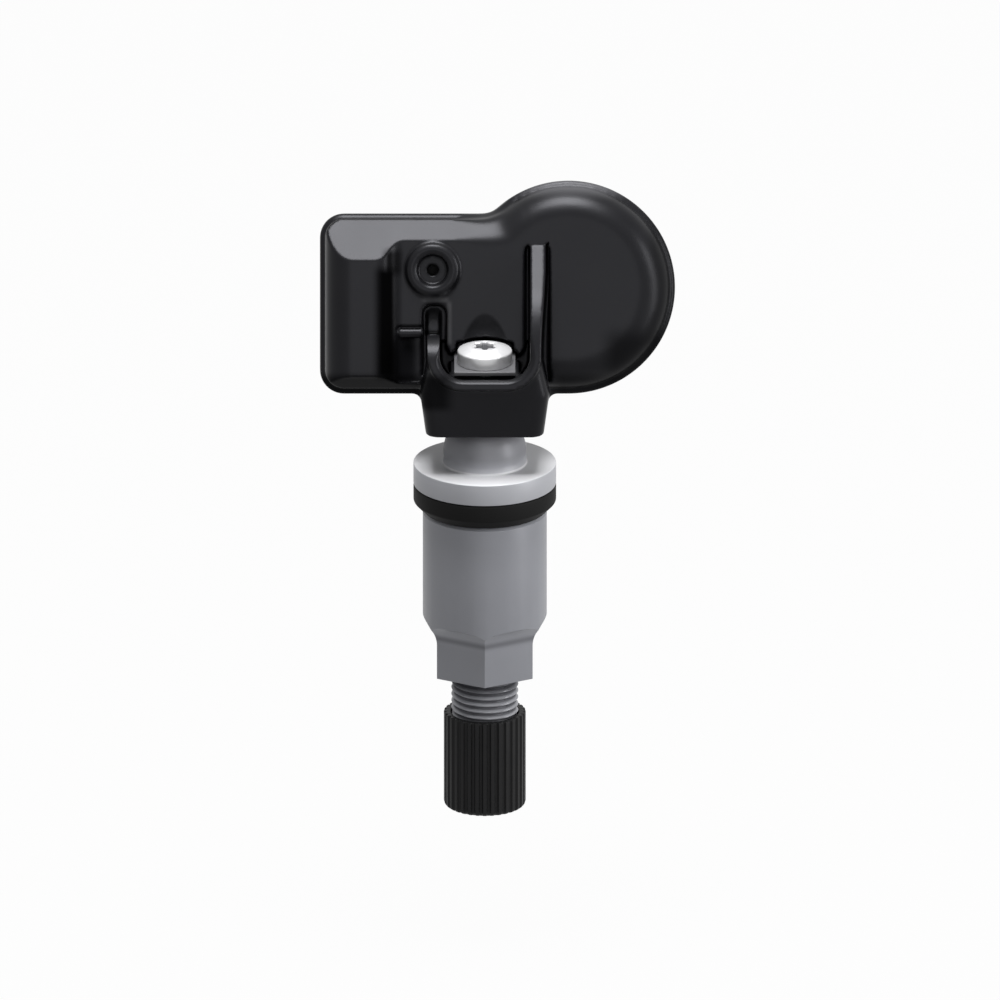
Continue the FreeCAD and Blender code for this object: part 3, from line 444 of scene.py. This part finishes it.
GROMMET = Finish("grommet_rubber", (0.006, 0.006, 0.006), (0.009, 0.009, 0.009), 0.62, specular=0.08,
                 grain=2600.0, grain_depth=0.012 * MM)
CAP = Finish("cap_plastic", (0.009, 0.009, 0.0095), (0.013, 0.013, 0.0135), 0.45, specular=0.14)
SEAL = Finish("cap_rubber", (0.02, 0.02, 0.02), (0.03, 0.03, 0.03), 0.7)
BRASS = Finish("core_brass", (0.70, 0.50, 0.22), (0.76, 0.56, 0.26), 0.3, metallic=1.0, lines=Lines.TURNED)
RED = Finish("core_seal", (0.45, 0.03, 0.02), (0.5, 0.05, 0.03), 0.55)
SPRING = Finish("spring_steel", (0.5, 0.5, 0.5), (0.6, 0.6, 0.6), 0.28, metallic=1.0)
CUP = Finish("cup_rubber", (0.02, 0.02, 0.02), (0.03, 0.03, 0.03), 0.6)
BOARD = Finish("board_green", (0.01, 0.12, 0.04), (0.015, 0.16, 0.06), 0.35, coat=0.4)
CELL = Finish("cell_steel", (0.62, 0.62, 0.60), (0.7, 0.7, 0.68), 0.25, metallic=1.0, lines=Lines.DRAWN)
NICKEL = Finish("tab_nickel", (0.6, 0.58, 0.54), (0.68, 0.66, 0.6), 0.35, metallic=1.0, lines=Lines.DRAWN)
CHIP = Finish("chip_plastic", (0.02, 0.02, 0.02), (0.03, 0.03, 0.03), 0.55)
GASKET = Finish("gasket_silicone", (0.4, 0.4, 0.38), (0.45, 0.45, 0.43), 0.6)
FILTER = Finish("filter_white", (0.014, 0.014, 0.014), (0.02, 0.02, 0.02), 0.9)
FERRITE = Finish("ferrite_grey", (0.08, 0.08, 0.08), (0.11, 0.11, 0.11), 0.6)
COPPER = Finish("copper_wire", (0.5, 0.18, 0.08), (0.6, 0.24, 0.1), 0.35, metallic=1.0,
                lines=Lines.TURNED, line_scale=2500.0, line_strength=0.8)
CRYSTAL = Finish("crystal_metal", (0.65, 0.65, 0.63), (0.72, 0.72, 0.7), 0.28, metallic=1.0)
TIN = Finish("antenna_brass", (0.6, 0.58, 0.5), (0.66, 0.64, 0.56), 0.3, metallic=1.0)
CERAMIC = Finish("part_tan", (0.35, 0.26, 0.16), (0.42, 0.32, 0.2), 0.5)


def rounded(profile: Profile) -> np.ndarray:
    """Rounds the corners of a profile.

    With half the angle between a corner's sides, the arc starts and ends r / tan(half) from the corner,
    and its centre c lies r / sin(half) from it on the bisector. The arc's points run from its first to
    its last as c + (sin((1 - t) a) first + sin(t a) last) / sin(a), for t from 0 to 1 and a = pi - 2 half.

    Args:
        profile: corners as (radius, height, fillet), in millimetres.

    Returns:
        Points as rows of (radius, height).
    """
    corners = np.array([corner[:2] for corner in profile])
    out = [corners[:1]]
    for number in range(1, len(profile) - 1):
        here, fillet = corners[number], profile[number][2]
        back = corners[number - 1] - here
        ahead = corners[number + 1] - here
        back, ahead = back / np.linalg.norm(back), ahead / np.linalg.norm(ahead)
        half = math.acos(float(np.clip(back @ ahead, -1.0, 1.0))) / 2
        if fillet <= 0.0 or half > math.pi / 2 - STRAIGHT:
            out.append(here[None])
            continue
        cut = fillet / math.tan(half)
        middle = (back + ahead) / np.linalg.norm(back + ahead)
        centre = here + middle * fillet / math.sin(half)
        first, last = here + back * cut - centre, here + ahead * cut - centre
        share = np.linspace(0.0, 1.0, ARC_POINTS)[:, None]
        spread = math.pi - 2 * half
        arc = (np.sin((1 - share) * spread) * first + np.sin(share * spread) * last) / math.sin(spread)
        out.append(centre + arc)
    out.append(corners[-1:])
    return np.concatenate(out)


def grid_faces(rows: int, columns: int, wrap_rows: bool = False) -> np.ndarray:
    """Quads of a grid whose columns run round in a ring.

    Args:
        rows: points along the profile.
        columns: points round the ring.
        wrap_rows: whether the last row joins the first.

    Returns:
        Faces (i, j), (i, j + 1), (i + 1, j + 1), (i + 1, j), with j taken round the ring.
    """
    last = rows if wrap_rows else rows - 1
    i, j = np.meshgrid(np.arange(last), np.arange(columns), indexing="ij")
    below, beside = (i + 1) % rows, (j + 1) % columns
    corners = [i * columns + j, i * columns + beside, below * columns + beside, below * columns + j]
    return np.stack([corner.ravel() for corner in corners], axis=1)


def turned_points(profile: np.ndarray, columns: int, bulge: Bulge | None = None) -> np.ndarray:
    """Points of a surface of revolution.

    p = (r cos a, r sin a, z), where r is the profile's radius plus what bulge(radius, height, angle) adds.

    Args:
        profile: rows of (radius, height), in millimetres.
        columns: points round the ring.
        bulge: optional function of radius, height and angle, all arrays.

    Returns:
        Vertices as rows, in metres.
    """
    angle = np.linspace(0.0, 2 * math.pi, columns, endpoint=False)[None, :]
    radius, height = profile[:, :1], profile[:, 1:]
    spread = radius + (bulge(radius, height, angle) if bulge else 0.0) + 0.0 * angle
    rise = height + 0.0 * angle
    return np.stack([spread * np.cos(angle), spread * np.sin(angle), rise], axis=-1).reshape(-1, 3) * MM


def add_object(name: str, data: Any) -> bpy.types.Object:
    """Puts a mesh, lamp or camera into the scene.

    Args:
        name: the object's name.
        data: what it shows.

    Returns:
        The object.
    """
    made = bpy.data.objects.new(name, data)
    bpy.context.scene.collection.objects.link(made)
    return made


def merge_doubles(mesh: bpy.types.Mesh, gap: float, outwards: bool = False) -> None:
    """Merges a mesh's doubled points.

    Args:
        mesh: the mesh.
        gap: distance in millimetres up to which points count as one.
        outwards: whether all faces are then turned outwards.
    """
    work = bmesh.new()
    work.from_mesh(mesh)
    bmesh.ops.remove_doubles(work, verts=work.verts, dist=gap * MM)
    if outwards:
        bmesh.ops.recalc_face_normals(work, faces=work.faces)
    work.to_mesh(mesh)
    work.free()
    mesh.update()


def dress(made: bpy.types.Object, material: bpy.types.Material) -> None:
    """Gives a bare object its finish and smooth shading."""
    made.data.materials.append(material)
    made.data.polygons.foreach_set("use_smooth", np.ones(len(made.data.polygons), bool))


def sharpen(made: bpy.types.Object, degrees: float) -> None:
    """Marks edges sharper than an angle, so that smooth shading stops there."""
    made.data.set_sharp_from_angle(angle=math.radians(degrees))


def turned_object(name: str, points: np.ndarray, faces: np.ndarray, body: str,
                  material: bpy.types.Material) -> bpy.types.Object:
    """Makes a closed piece from a grid of points and lets it ride.

    Args:
        name: the piece's name.
        points: vertices as rows, in metres.
        faces: quads as rows of vertex numbers.
        body: the body that it rides on.
        material: its finish.

    Returns:
        The object, with its poles merged and its faces outwards.
    """
    mesh = bpy.data.meshes.new(name)
    mesh.from_pydata(points.tolist(), [], faces.tolist())
    made = add_object(name, mesh)
    dress(made, material)
    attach(made, body)
    merge_doubles(mesh, POLE_GAP, outwards=True)
    return made


def merged_copy(node: str, name: str) -> bpy.types.Object:
    """A bare copy of a CAD node with its doubled points merged.

    Args:
        node: the node's name.
        name: the new piece's name.

    Returns:
        An object that rides on nothing yet.
    """
    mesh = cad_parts[node].data.copy()
    mesh.name = name
    mesh.materials.clear()
    merge_doubles(mesh, CAD_GAP)
    return add_object(name, mesh)


def apply_modifiers(made: bpy.types.Object) -> None:
    """Gives an object the mesh that its modifiers make.

    Args:
        made: the object, which keeps its name and loses its modifiers.
    """
    bpy.context.view_layer.update()
    graph = bpy.context.evaluated_depsgraph_get()
    mesh = bpy.data.meshes.new_from_object(made.evaluated_get(graph))
    made.modifiers.clear()
    old = made.data
    made.data = mesh
    bpy.data.meshes.remove(old)
    mesh.name = made.name


@dataclass(frozen=True)
class Lamp:
    """A soft rectangular lamp, with its place and size in metres and its power in watts."""

    name: str
    place: Triple
    size: tuple[float, float]
    power: float

    def build(self, aim: Triple) -> None:
        """Makes the lamp.

        Args:
            aim: the point that it faces.
        """
        data = bpy.data.lights.new(self.name, "AREA")
        data.shape = "RECTANGLE"
        data.size, data.size_y = self.size
        data.energy = self.power
        made = add_object(self.name, data)
        made.location = self.place
        made.rotation_euler = (Vector(self.place) - Vector(aim)).to_track_quat("Z", "Y").to_euler()


@dataclass
class Studio:
    """Floor, backdrop, lamps and camera.

    Attributes:
        elevation: how far the camera looks down, in degrees.
        view_height: height of the camera's view, in metres.
        aim: the point in the middle of the view.
        distance: from the camera to that point.
        clip: nearest and farthest depth that the camera sees.
        floor_drop: gap between the lowest piece and the floor.
        floor_size: length of the floor's sides.
        floor_cloud: features to the metre of the floor's unevenness.
        floor_shade: how far that unevenness tints it.
        floor_glow: share of plain white in the floor that the camera sees.
        white: colour of the backdrop.
        pale: colour of the floor under the light.
        fill: strength of the backdrop's light on the object.
        lamps: an overhead box, a strip on the right and a weak front box.
    """

    elevation: float = 20.0
    view_height: float = 114.9 * MM
    aim: Triple = (1.747 * MM, 0.0, -2.19 * MM)
    distance: float = 0.8
    clip: tuple[float, float] = (0.01, 10.0)
    floor_drop: float = 16.0 * MM
    floor_size: float = 3.0
    floor_cloud: float = 3.0
    floor_shade: float = 0.1
    floor_glow: float = 0.97
    white: Triple = (1.0, 1.0, 1.0)
    pale: Triple = (0.2, 0.2, 0.2)
    fill: float = 0.15
    lamps: tuple[Lamp, ...] = (
        Lamp("top_box", (0.0, -0.015, 0.42), (0.2, 0.2), 3.5),
        Lamp("right_strip", (0.42, -0.16, 0.12), (0.12, 0.36), 1.6),
        Lamp("front_box", (0.0, -0.5, 0.18), (0.3, 0.3), 0.45),
    )

    def build(self) -> None:
        """Makes the whole studio."""
        self.floor()
        self.world()
        for lamp in self.lamps:
            lamp.build(self.aim)
        self.camera()
        bpy.context.scene.view_settings.view_transform = "Standard"

    def seen(self, graph: Graph) -> Sock:
        """1 for camera, glossy and transmission rays, or else 0."""
        path = graph.make("ShaderNodeLightPath")
        rays = path.out("Is Camera Ray") + path.out("Is Glossy Ray") + path.out("Is Transmission Ray")
        return rays.clamped()

    def floor(self) -> None:
        """A wide plain floor, white to the camera but for the object's shadow."""
        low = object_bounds()[0][2] - self.floor_drop
        half = self.floor_size / 2
        points = [[-half, -half, low], [half, -half, low], [half, half, low], [-half, half, low]]
        mesh = bpy.data.meshes.new("floor")
        mesh.from_pydata(points, [], [[0, 1, 2, 3]])
        made = bpy.data.materials.new("floor_pale")
        made.use_nodes = True
        graph = Graph(made.node_tree)
        shade = graph.noise(self.floor_cloud, 1.0) * self.floor_shade
        colour = graph.blend(shade, rgba(self.pale), rgba(self.white))
        plain = graph.make("ShaderNodeBsdfDiffuse", {}, {"Color": colour}).out()
        glow = graph.make("ShaderNodeEmission", {}, {"Color": rgba(self.white), "Strength": 1.0}).out()
        factor = self.seen(graph) * self.floor_glow
        mix = graph.make("ShaderNodeMixShader", {}, {0: factor, 1: plain, 2: glow}).out()
        graph.make("ShaderNodeOutputMaterial", {}, {"Surface": mix})
        mesh.materials.append(made)
        floor = add_object("floor", mesh)
        floor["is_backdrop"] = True

    def world(self) -> None:
        """White to the camera and in reflections, and a soft fill elsewhere."""
        world = bpy.data.worlds.new("studio")
        bpy.context.scene.world = world
        world.use_nodes = True
        graph = Graph(world.node_tree)
        strength = self.seen(graph) * (1.0 - self.fill) + self.fill
        back = graph.make("ShaderNodeBackground", {}, {"Color": rgba(self.white), "Strength": strength})
        graph.make("ShaderNodeOutputWorld", {}, {"Surface": back.out()})

    def camera(self) -> None:
        """An upright view from the front that looks down by elevation."""
        data = bpy.data.cameras.new("camera")
        data.type = "ORTHO"
        data.ortho_scale = self.view_height
        data.clip_start, data.clip_end = self.clip
        made = add_object("camera", data)
        lift = math.radians(self.elevation)
        away = Vector((0.0, -math.cos(lift), math.sin(lift))) * self.distance
        made.location = Vector(self.aim) + away
        made.rotation_euler = (math.pi / 2 - lift, 0.0, 0.0)
        bpy.context.scene.camera = made


@dataclass
class Stem:
    """Valve stem: ball neck, flange and threaded shank in one turned piece, in millimetres.

    A size whose name ends in _r is a radius. Heights are measured from the flange's underside.
    """

    ball_centre: float = 3.9
    ball_r: float = 4.75
    ball_top_r: float = 3.2
    ball_low_degrees: float = -8.0
    ball_rows: int = 22
    foot_r: float = 4.85
    foot_fillet: float = 0.12
    flange_r: float = 8.2
    flange_t: float = 2.5
    shoulder_r: float = 4.3
    shoulder_end: float = -7.0
    shoulder_fillet: float = 0.2
    root_fillet: float = 0.05
    fillet: float = 0.1
    crest_r: float = 3.85
    crest_margin: float = 1e-6
    thread_depth: float = 0.42
    groove_power: float = 0.8
    pitch: float = 25.4 / 32
    mouth_turns: float = 0.8
    thread_start: float = -9.0
    end: float = -37.1
    bore_r: float = 2.62
    bore_depth: float = 7.0
    bore_cone: float = 1.6
    bore_top: float = -16.0
    lower_bore_r: float = 2.15
    columns: int = 96
    rows_a_turn: int = 10
    sharp_angle: float = 40.0

    def profile(self) -> np.ndarray:
        """Lays out the outline, with the thread's rows evenly spaced.

        Returns:
            Rows of (radius, height), from the ball's top to the bottom of the bore.
        """
        top = math.sqrt(self.ball_r ** 2 - self.ball_top_r ** 2)
        first = math.atan2(top, self.ball_top_r)
        angle = np.linspace(first, math.radians(self.ball_low_degrees), self.ball_rows)
        rise = self.ball_centre + self.ball_r * np.sin(angle)
        ball = np.stack([self.ball_r * np.cos(angle), rise], axis=1)
        upper = rounded([
            (ball[-1][0], ball[-1][1], 0.0),
            (self.foot_r, self.flange_t, self.foot_fillet),
            (self.flange_r, self.flange_t, self.fillet),
            (self.flange_r, 0.0, self.fillet),
            (self.shoulder_r, 0.0, self.root_fillet),
            (self.shoulder_r, self.shoulder_end, self.shoulder_fillet),
            (self.crest_r, self.shoulder_end, self.fillet),
            (self.crest_r, self.thread_start, 0.0),
        ])[1:]
        turns = (self.thread_start - self.end) / self.pitch
        height = np.linspace(self.thread_start, self.end, int(turns * self.rows_a_turn))[1:]
        thread = np.stack([np.full_like(height, self.crest_r), height], axis=1)
        mouth = rounded([
            (self.crest_r - self.thread_depth, self.end, 0.0),
            (self.bore_r, self.end, self.fillet),
            (self.bore_r, self.end + self.bore_depth, self.fillet),
            (self.lower_bore_r, self.end + self.bore_depth + self.bore_cone, self.fillet),
            (self.lower_bore_r, self.bore_top, 0.0),
            (0.0, self.bore_top, 0.0),
        ])
        start = np.array([[0.0, self.ball_centre + top]])
        return np.concatenate([start, ball, upper, thread, mouth])

    def bulge(self, radius: np.ndarray, height: np.ndarray, angle: np.ndarray) -> np.ndarray:
        """Thread: -depth * (0.5 - 0.5 cos(2 pi phase))^groove_power on the shank.

        The phase is height / pitch + angle / (2 pi), so a ridge sinks by one pitch with each turn about
        +z. The thread fades in over its first turn, and runs out at full depth at the mouth.

        Args:
            radius: the profile's radii.
            height: its heights.
            angle: angles round the axis.

        Returns:
            What is added to each point's radius.
        """
        phase = height / self.pitch + angle / (2 * math.pi)
        wave = (0.5 - 0.5 * np.cos(2 * math.pi * phase)) ** self.groove_power
        fade_in = np.clip((self.thread_start - height) / self.pitch, 0.0, 1.0)
        mouth = np.clip((height - self.end) / (self.mouth_turns * self.pitch), 0.0, 1.0)
        on_crest = np.abs(radius - self.crest_r) < self.crest_margin
        on_shank = on_crest & (height <= self.thread_start)
        cut = fade_in * (wave * mouth + (1 - mouth))
        return -self.thread_depth * cut * on_shank

    def build(self, material: bpy.types.Material) -> None:
        """Makes the stem in place of its plain CAD solid.

        Args:
            material: its finish.
        """
        profile = self.profile()
        points = turned_points(profile, self.columns, self.bulge)
        made = turned_object("stem", points, grid_faces(len(profile), self.columns), "valve", material)
        sharpen(made, self.sharp_angle)
        store_places(made, round_places(made))
        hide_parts("valve_stem")


@dataclass
class Grommet:
    """Rubber seal with softened corners, in millimetres, under the valve's flange."""

    bore_r: float = 4.3
    flange_r: float = 8.2
    clearance: float = 0.01
    seam: float = -1.0
    thick: float = 2.0
    taper: float = 1.1
    foot_r: float = 7.125
    neck_r: float = 5.6
    neck_len: float = 2.4
    bore_fillet: float = 0.02
    rim_fillet: float = 0.3
    edge_fillet: float = 0.35
    foot_fillet: float = 0.2
    neck_fillet: float = 0.15
    end_fillet: float = 0.2
    mouth_fillet: float = 0.1
    columns: int = 128

    def build(self, material: bpy.types.Material) -> None:
        """Makes the grommet in place of its CAD solid.

        Args:
            material: its finish.
        """
        foot = -self.thick - self.taper
        end = foot - self.neck_len
        profile = rounded([
            (self.bore_r, self.seam, 0.0),
            (self.bore_r, -self.clearance, self.bore_fillet),
            (self.flange_r, -self.clearance, self.rim_fillet),
            (self.flange_r, -self.thick, self.edge_fillet),
            (self.foot_r, foot, self.foot_fillet),
            (self.neck_r, foot, self.neck_fillet),
            (self.neck_r, end, self.end_fillet),
            (self.bore_r, end, self.mouth_fillet),
            (self.bore_r, self.seam, 0.0),
        ])[:-1]
        points = turned_points(profile, self.columns)
        faces = grid_faces(len(profile), self.columns, wrap_rows=True)
        made = turned_object("seal_collar", points, faces, "valve", material)
        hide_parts("grommet")


@dataclass
class Cap:
    """Dust cap with ribs, a filleted mouth and a softly rounded closed end, in millimetres."""

    top: float = -27.9
    length: float = 11.4
    outer_r: float = 4.7
    bore_r: float = 3.92
    end_wall: float = 1.1
    end_fillet: float = 0.55
    mouth_fillet: float = 0.12
    bore_fillet: float = 0.1
    ribs: int = 32
    rib_depth: float = 0.26
    rib_inset: float = 0.55
    rib_fade: float = 0.3
    groove_from: float = -0.25
    groove_to: float = 0.65
    columns_a_rib: int = 10
    sharp_angle: float = 50.0

    def bulge(self, radius: np.ndarray, height: np.ndarray, angle: np.ndarray) -> np.ndarray:
        """Grooves: -depth * s(-cos(ribs * angle)), with s a smooth step, only on the outer wall.

        Args:
            radius: the profile's radii.
            height: its heights, which change nothing.
            angle: angles round the axis.

        Returns:
            What is added to each point's radius.
        """
        groove = smooth_step(self.groove_from, self.groove_to, -np.cos(self.ribs * angle))
        outer = np.clip((radius - (self.outer_r - self.rib_inset)) / self.rib_fade, 0.0, 1.0)
        return -self.rib_depth * groove * outer

    def build(self, material: bpy.types.Material) -> None:
        """Makes the cap in place of its CAD solid.

        Args:
            material: its finish.
        """
        low = self.top - self.length
        profile = rounded([
            (0.0, low, 0.0),
            (self.outer_r, low, self.end_fillet),
            (self.outer_r, self.top, self.mouth_fillet),
            (self.bore_r, self.top, self.bore_fillet),
            (self.bore_r, low + self.end_wall, self.bore_fillet),
            (0.0, low + self.end_wall, 0.0),
        ])
        columns = self.ribs * self.columns_a_rib
        points = turned_points(profile, columns, self.bulge)
        made = turned_object("dust_cap", points, grid_faces(len(profile), columns), "cap", material)
        sharpen(made, self.sharp_angle)
        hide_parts("valve_cap")


@dataclass
class SoftEdges:
    """A CAD node's copy with bevelled edges.

    Attributes:
        node: the CAD node.
        piece: the new piece's name.
        body: the body that it rides on.
        slot: name of its material slot, which is not used.
        width: the bevels' width, in millimetres.
        segments: faces across a bevel.
        angle: edges sharper than this many degrees are bevelled.
        plane_angle: faces closer to level than this many degrees are joined first.
        sharp_angle: smooth shading stops at edges sharper than this many degrees.
        trim: factor on x and y.
    """

    node: str
    piece: str
    body: str
    slot: str
    width: float
    segments: int = 3
    angle: float = 32.0
    plane_angle: float = 0.4
    sharp_angle: float = 35.0
    trim: float = 1.0

    def build(self, material: bpy.types.Material) -> None:
        """Makes the bevelled copy in place of the CAD node.

        Args:
            material: its finish.
        """
        made = merged_copy(self.node, self.piece)
        flat = made.modifiers.new("planes", "DECIMATE")
        flat.decimate_type = "DISSOLVE"
        flat.angle_limit = math.radians(self.plane_angle)
        edge = made.modifiers.new("edges", "BEVEL")
        edge.width = self.width * MM
        edge.segments = self.segments
        edge.limit_method = "ANGLE"
        edge.angle_limit = math.radians(self.angle)
        edge.harden_normals = False
        edge.use_clamp_overlap = True
        apply_modifiers(made)
        made.data.transform(Matrix.Diagonal((self.trim, self.trim, 1.0, 1.0)))
        dress(made, material)
        sharpen(made, self.sharp_angle)
        store_places(made, round_places(made))
        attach(made, self.body)
        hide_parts(self.node)


@dataclass(frozen=True)
class SoftZone:
    """A ball in the housing's own frame, in millimetres, in which the case is blended more softly."""

    place: Triple
    reach: float
    rounds: int

    def weights(self, points: np.ndarray) -> np.ndarray:
        """Weight s(1 - distance / reach), with s(t) = t^2 (3 - 2t), at points in millimetres."""
        distance = np.linalg.norm(points - np.array(self.place), axis=1)
        return smooth_step(0.0, 1.0, 1 - distance / self.reach)


@dataclass
class Case:
    """Moulded case: the CAD form with the small radii that a mould leaves, in millimetres.

    Places are measured in the housing's own frame: x, u up along the lean, and w towards the front.

    Attributes:
        voxel: size of the skin's cells.
        rounds: rounds of blending all over.
        strength: strength of each round.
        keep: share of the faces that is kept.
        tilt_z: height of the tilt axis.
        lean: the housing's lean, in radians.
        levels: steps in a zone's weight.
        ramp_lean: how far the right arm's outer face leans outwards, at most.
        ramp_inner: from and to which x the lean sets in.
        ramp_outer: from and to which x it ends.
        ramp_low: from and to which u it sets in.
        ramp_high: from and to which u it ends.
        arm_top: u of the left arm's top.
        arm_front: w of its front.
        arm_round: radius between the two.
        arm_sides: the x between which it lies.
        zones: where the case is blended more softly.
    """

    voxel: float = 0.16
    rounds: int = 7
    strength: float = 0.5
    keep: float = 0.36
    tilt_z: float = 3.9
    lean: float = math.radians(20.0)
    levels: int = 6
    ramp_lean: float = 0.5
    ramp_inner: tuple[float, float] = (5.7, 6.3)
    ramp_outer: tuple[float, float] = (6.9, 7.35)
    ramp_low: tuple[float, float] = (11.0, 21.5)
    ramp_high: tuple[float, float] = (24.0, 25.2)
    arm_top: float = 13.2
    arm_front: float = 9.2
    arm_round: float = 3.6
    arm_sides: tuple[float, float] = (-8.0, -4.6)
    zones: tuple[SoftZone, ...] = (
        SoftZone((0.8, 25.6, 1.2), 4.6, 300),
        SoftZone((-5.7, 16.9, 3.6), 3.4, 70),
        SoftZone((-4.1, 14.4, 3.6), 2.8, 50),
        SoftZone((-7.3, 7.9, 1.5), 1.6, 30),
        SoftZone((7.4, 8.2, 1.5), 1.6, 30),
    )

    def own_frame(self, made: bpy.types.Object) -> np.ndarray:
        """Vertices in the housing's own frame.

        With y and z measured from the tilt axis, u = z cos(lean) + y sin(lean) and
        w = z sin(lean) - y cos(lean).

        Args:
            made: the case, unturned at the origin.

        Returns:
            Rows of (x, u, w), in millimetres.
        """
        x, y, z = vertex_places(made).T
        z = z - self.tilt_z
        cos, sin = math.cos(self.lean), math.sin(self.lean)
        return np.stack([x, z * cos + y * sin, z * sin - y * cos], axis=1)

    def widen_ramp(self, made: bpy.types.Object) -> None:
        """Moves the right arm's outer face by ramp_lean * across * along, each a product of smooth steps.

        Args:
            made: the case.
        """
        x, up, _ = self.own_frame(made).T
        across = smooth_step(*self.ramp_inner, x) * (1 - smooth_step(*self.ramp_outer, x))
        along = smooth_step(*self.ramp_low, up) * (1 - smooth_step(*self.ramp_high, up))
        out = self.ramp_lean * across * along
        move_vertices(made, out[:, None] * np.array([1.0, 0.0, 0.0]))

    def round_left_arm(self, made: bpy.types.Object) -> None:
        """Rounds the left arm's top down to w = front - r + sqrt(r^2 - (u - top + r)^2), r = arm_round.

        Args:
            made: the case.
        """
        x, up, front = self.own_frame(made).T
        rise = np.clip(up - self.arm_top + self.arm_round, 0.0, self.arm_round)
        limit = self.arm_front - self.arm_round + np.sqrt(self.arm_round ** 2 - rise ** 2)
        left, right = self.arm_sides
        on_arm = (x > left) & (x < right) & (up > self.arm_top - self.arm_round) & (front > limit)
        back = np.where(on_arm, front - limit, 0.0)
        backwards = np.array([0.0, math.cos(self.lean), -math.sin(self.lean)])
        move_vertices(made, back[:, None] * backwards)

    def soften(self, made: bpy.types.Object, zone: SoftZone, number: int) -> None:
        """Adds a Smooth modifier that works inside one zone.

        Args:
            made: the case.
            zone: the zone.
            number: what tells this zone's modifier from the others.
        """
        weights = zone.weights(self.own_frame(made))
        group = made.vertex_groups.new(name=f"zone_{number}")
        steps = np.ceil(weights * self.levels)
        for level in range(1, self.levels + 1):
            group.add(np.flatnonzero(steps == level).tolist(), level / self.levels, "REPLACE")
        smooth = made.modifiers.new(f"blend_{number}", "SMOOTH")
        smooth.factor = self.strength
        smooth.iterations = zone.rounds
        smooth.vertex_group = group.name

    def build(self, material: bpy.types.Material) -> None:
        """Makes the rounded copy in place of the CAD node.

        Args:
            material: its finish.
        """
        made = merged_copy("housing", "case")
        remesh = made.modifiers.new("skin", "REMESH")
        remesh.mode = "VOXEL"
        remesh.voxel_size = self.voxel * MM
        apply_modifiers(made)
        self.widen_ramp(made)
        self.round_left_arm(made)
        for number, zone in enumerate(self.zones):
            self.soften(made, zone, number)
        smooth = made.modifiers.new("radii", "SMOOTH")
        smooth.factor = self.strength
        smooth.iterations = self.rounds
        thin = made.modifiers.new("thin", "DECIMATE")
        thin.ratio = self.keep
        apply_modifiers(made)
        dress(made, material)
        store_places(made, self.own_frame(made))
        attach(made, "sensor")
        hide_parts("housing")


@dataclass
class CoreSpring:
    """The valve core's spring, in millimetres, as a plain copy of its CAD node."""

    fixed_end: float = -23.7
    free_end: float = -30.3
    travel: float = 1.2

    def build(self, material: bpy.types.Material) -> None:
        """Makes a copy of the CAD node in place of it.

        Args:
            material: its finish.
        """
        made = merged_copy("core_spring", "spring")
        dress(made, material)
        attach(made, "valve")
        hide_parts("core_spring")
        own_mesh(made)


@dataclass
class Inside:
    """The CAD nodes that keep their own meshes, and their finishes."""

    finishes: dict[str, Finish] = field(default_factory=lambda: {
        "rear_cover": COVER, "core_body": BRASS, "core_gasket": RED, "core_pin": BRASS,
        "core_cup_seal": CUP, "cap_seal": SEAL, "circuit_board": BOARD,
        "coin_cell": CELL, "battery_tab_front": NICKEL, "battery_tab_back": NICKEL, "sensor_chip": CHIP,
        "port_gasket": GASKET, "port_filter": FILTER, "coil_core": FERRITE, "coil_winding": COPPER,
        "crystal": CRYSTAL, "antenna": TIN, "chip_parts": CERAMIC,
    })

    def build(self) -> None:
        """Dresses each node."""
        made: dict[str, bpy.types.Material] = {}
        for node, finish in self.finishes.items():
            if finish.name not in made:
                made[finish.name] = finish.material()
            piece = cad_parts[node]
            piece.material_slots[0].link = "OBJECT"
            piece.material_slots[0].material = made[finish.name]


def main() -> None:
    """Builds the studio and each sub-assembly, in order, and reports the pieces."""
    logging.basicConfig(level=logging.INFO, format="%(name)s: %(message)s")
    Studio().build()
    Stem().build(VALVE.material())
    Grommet().build(GROMMET.material())
    Cap().build(CAP.material())
    SoftEdges("collar_nut", "nut_body", "nut", "nut_metal", 0.12).build(NUT.material())
    SoftEdges("fixing_screw", "screw", "valve", "screw_steel", 0.1).build(SCREW.material())
    SoftEdges("saddle_washer", "washer", "valve", "washer_steel", 0.08, trim=0.975).build(WASHER.material())
    Case().build(CASE.material())
    CoreSpring().build(SPRING.material())
    Inside().build()
    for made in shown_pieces():
        LOG.info("%s: %d faces", made.name, len(made.data.polygons))


if __name__ == "__main__":
    main()
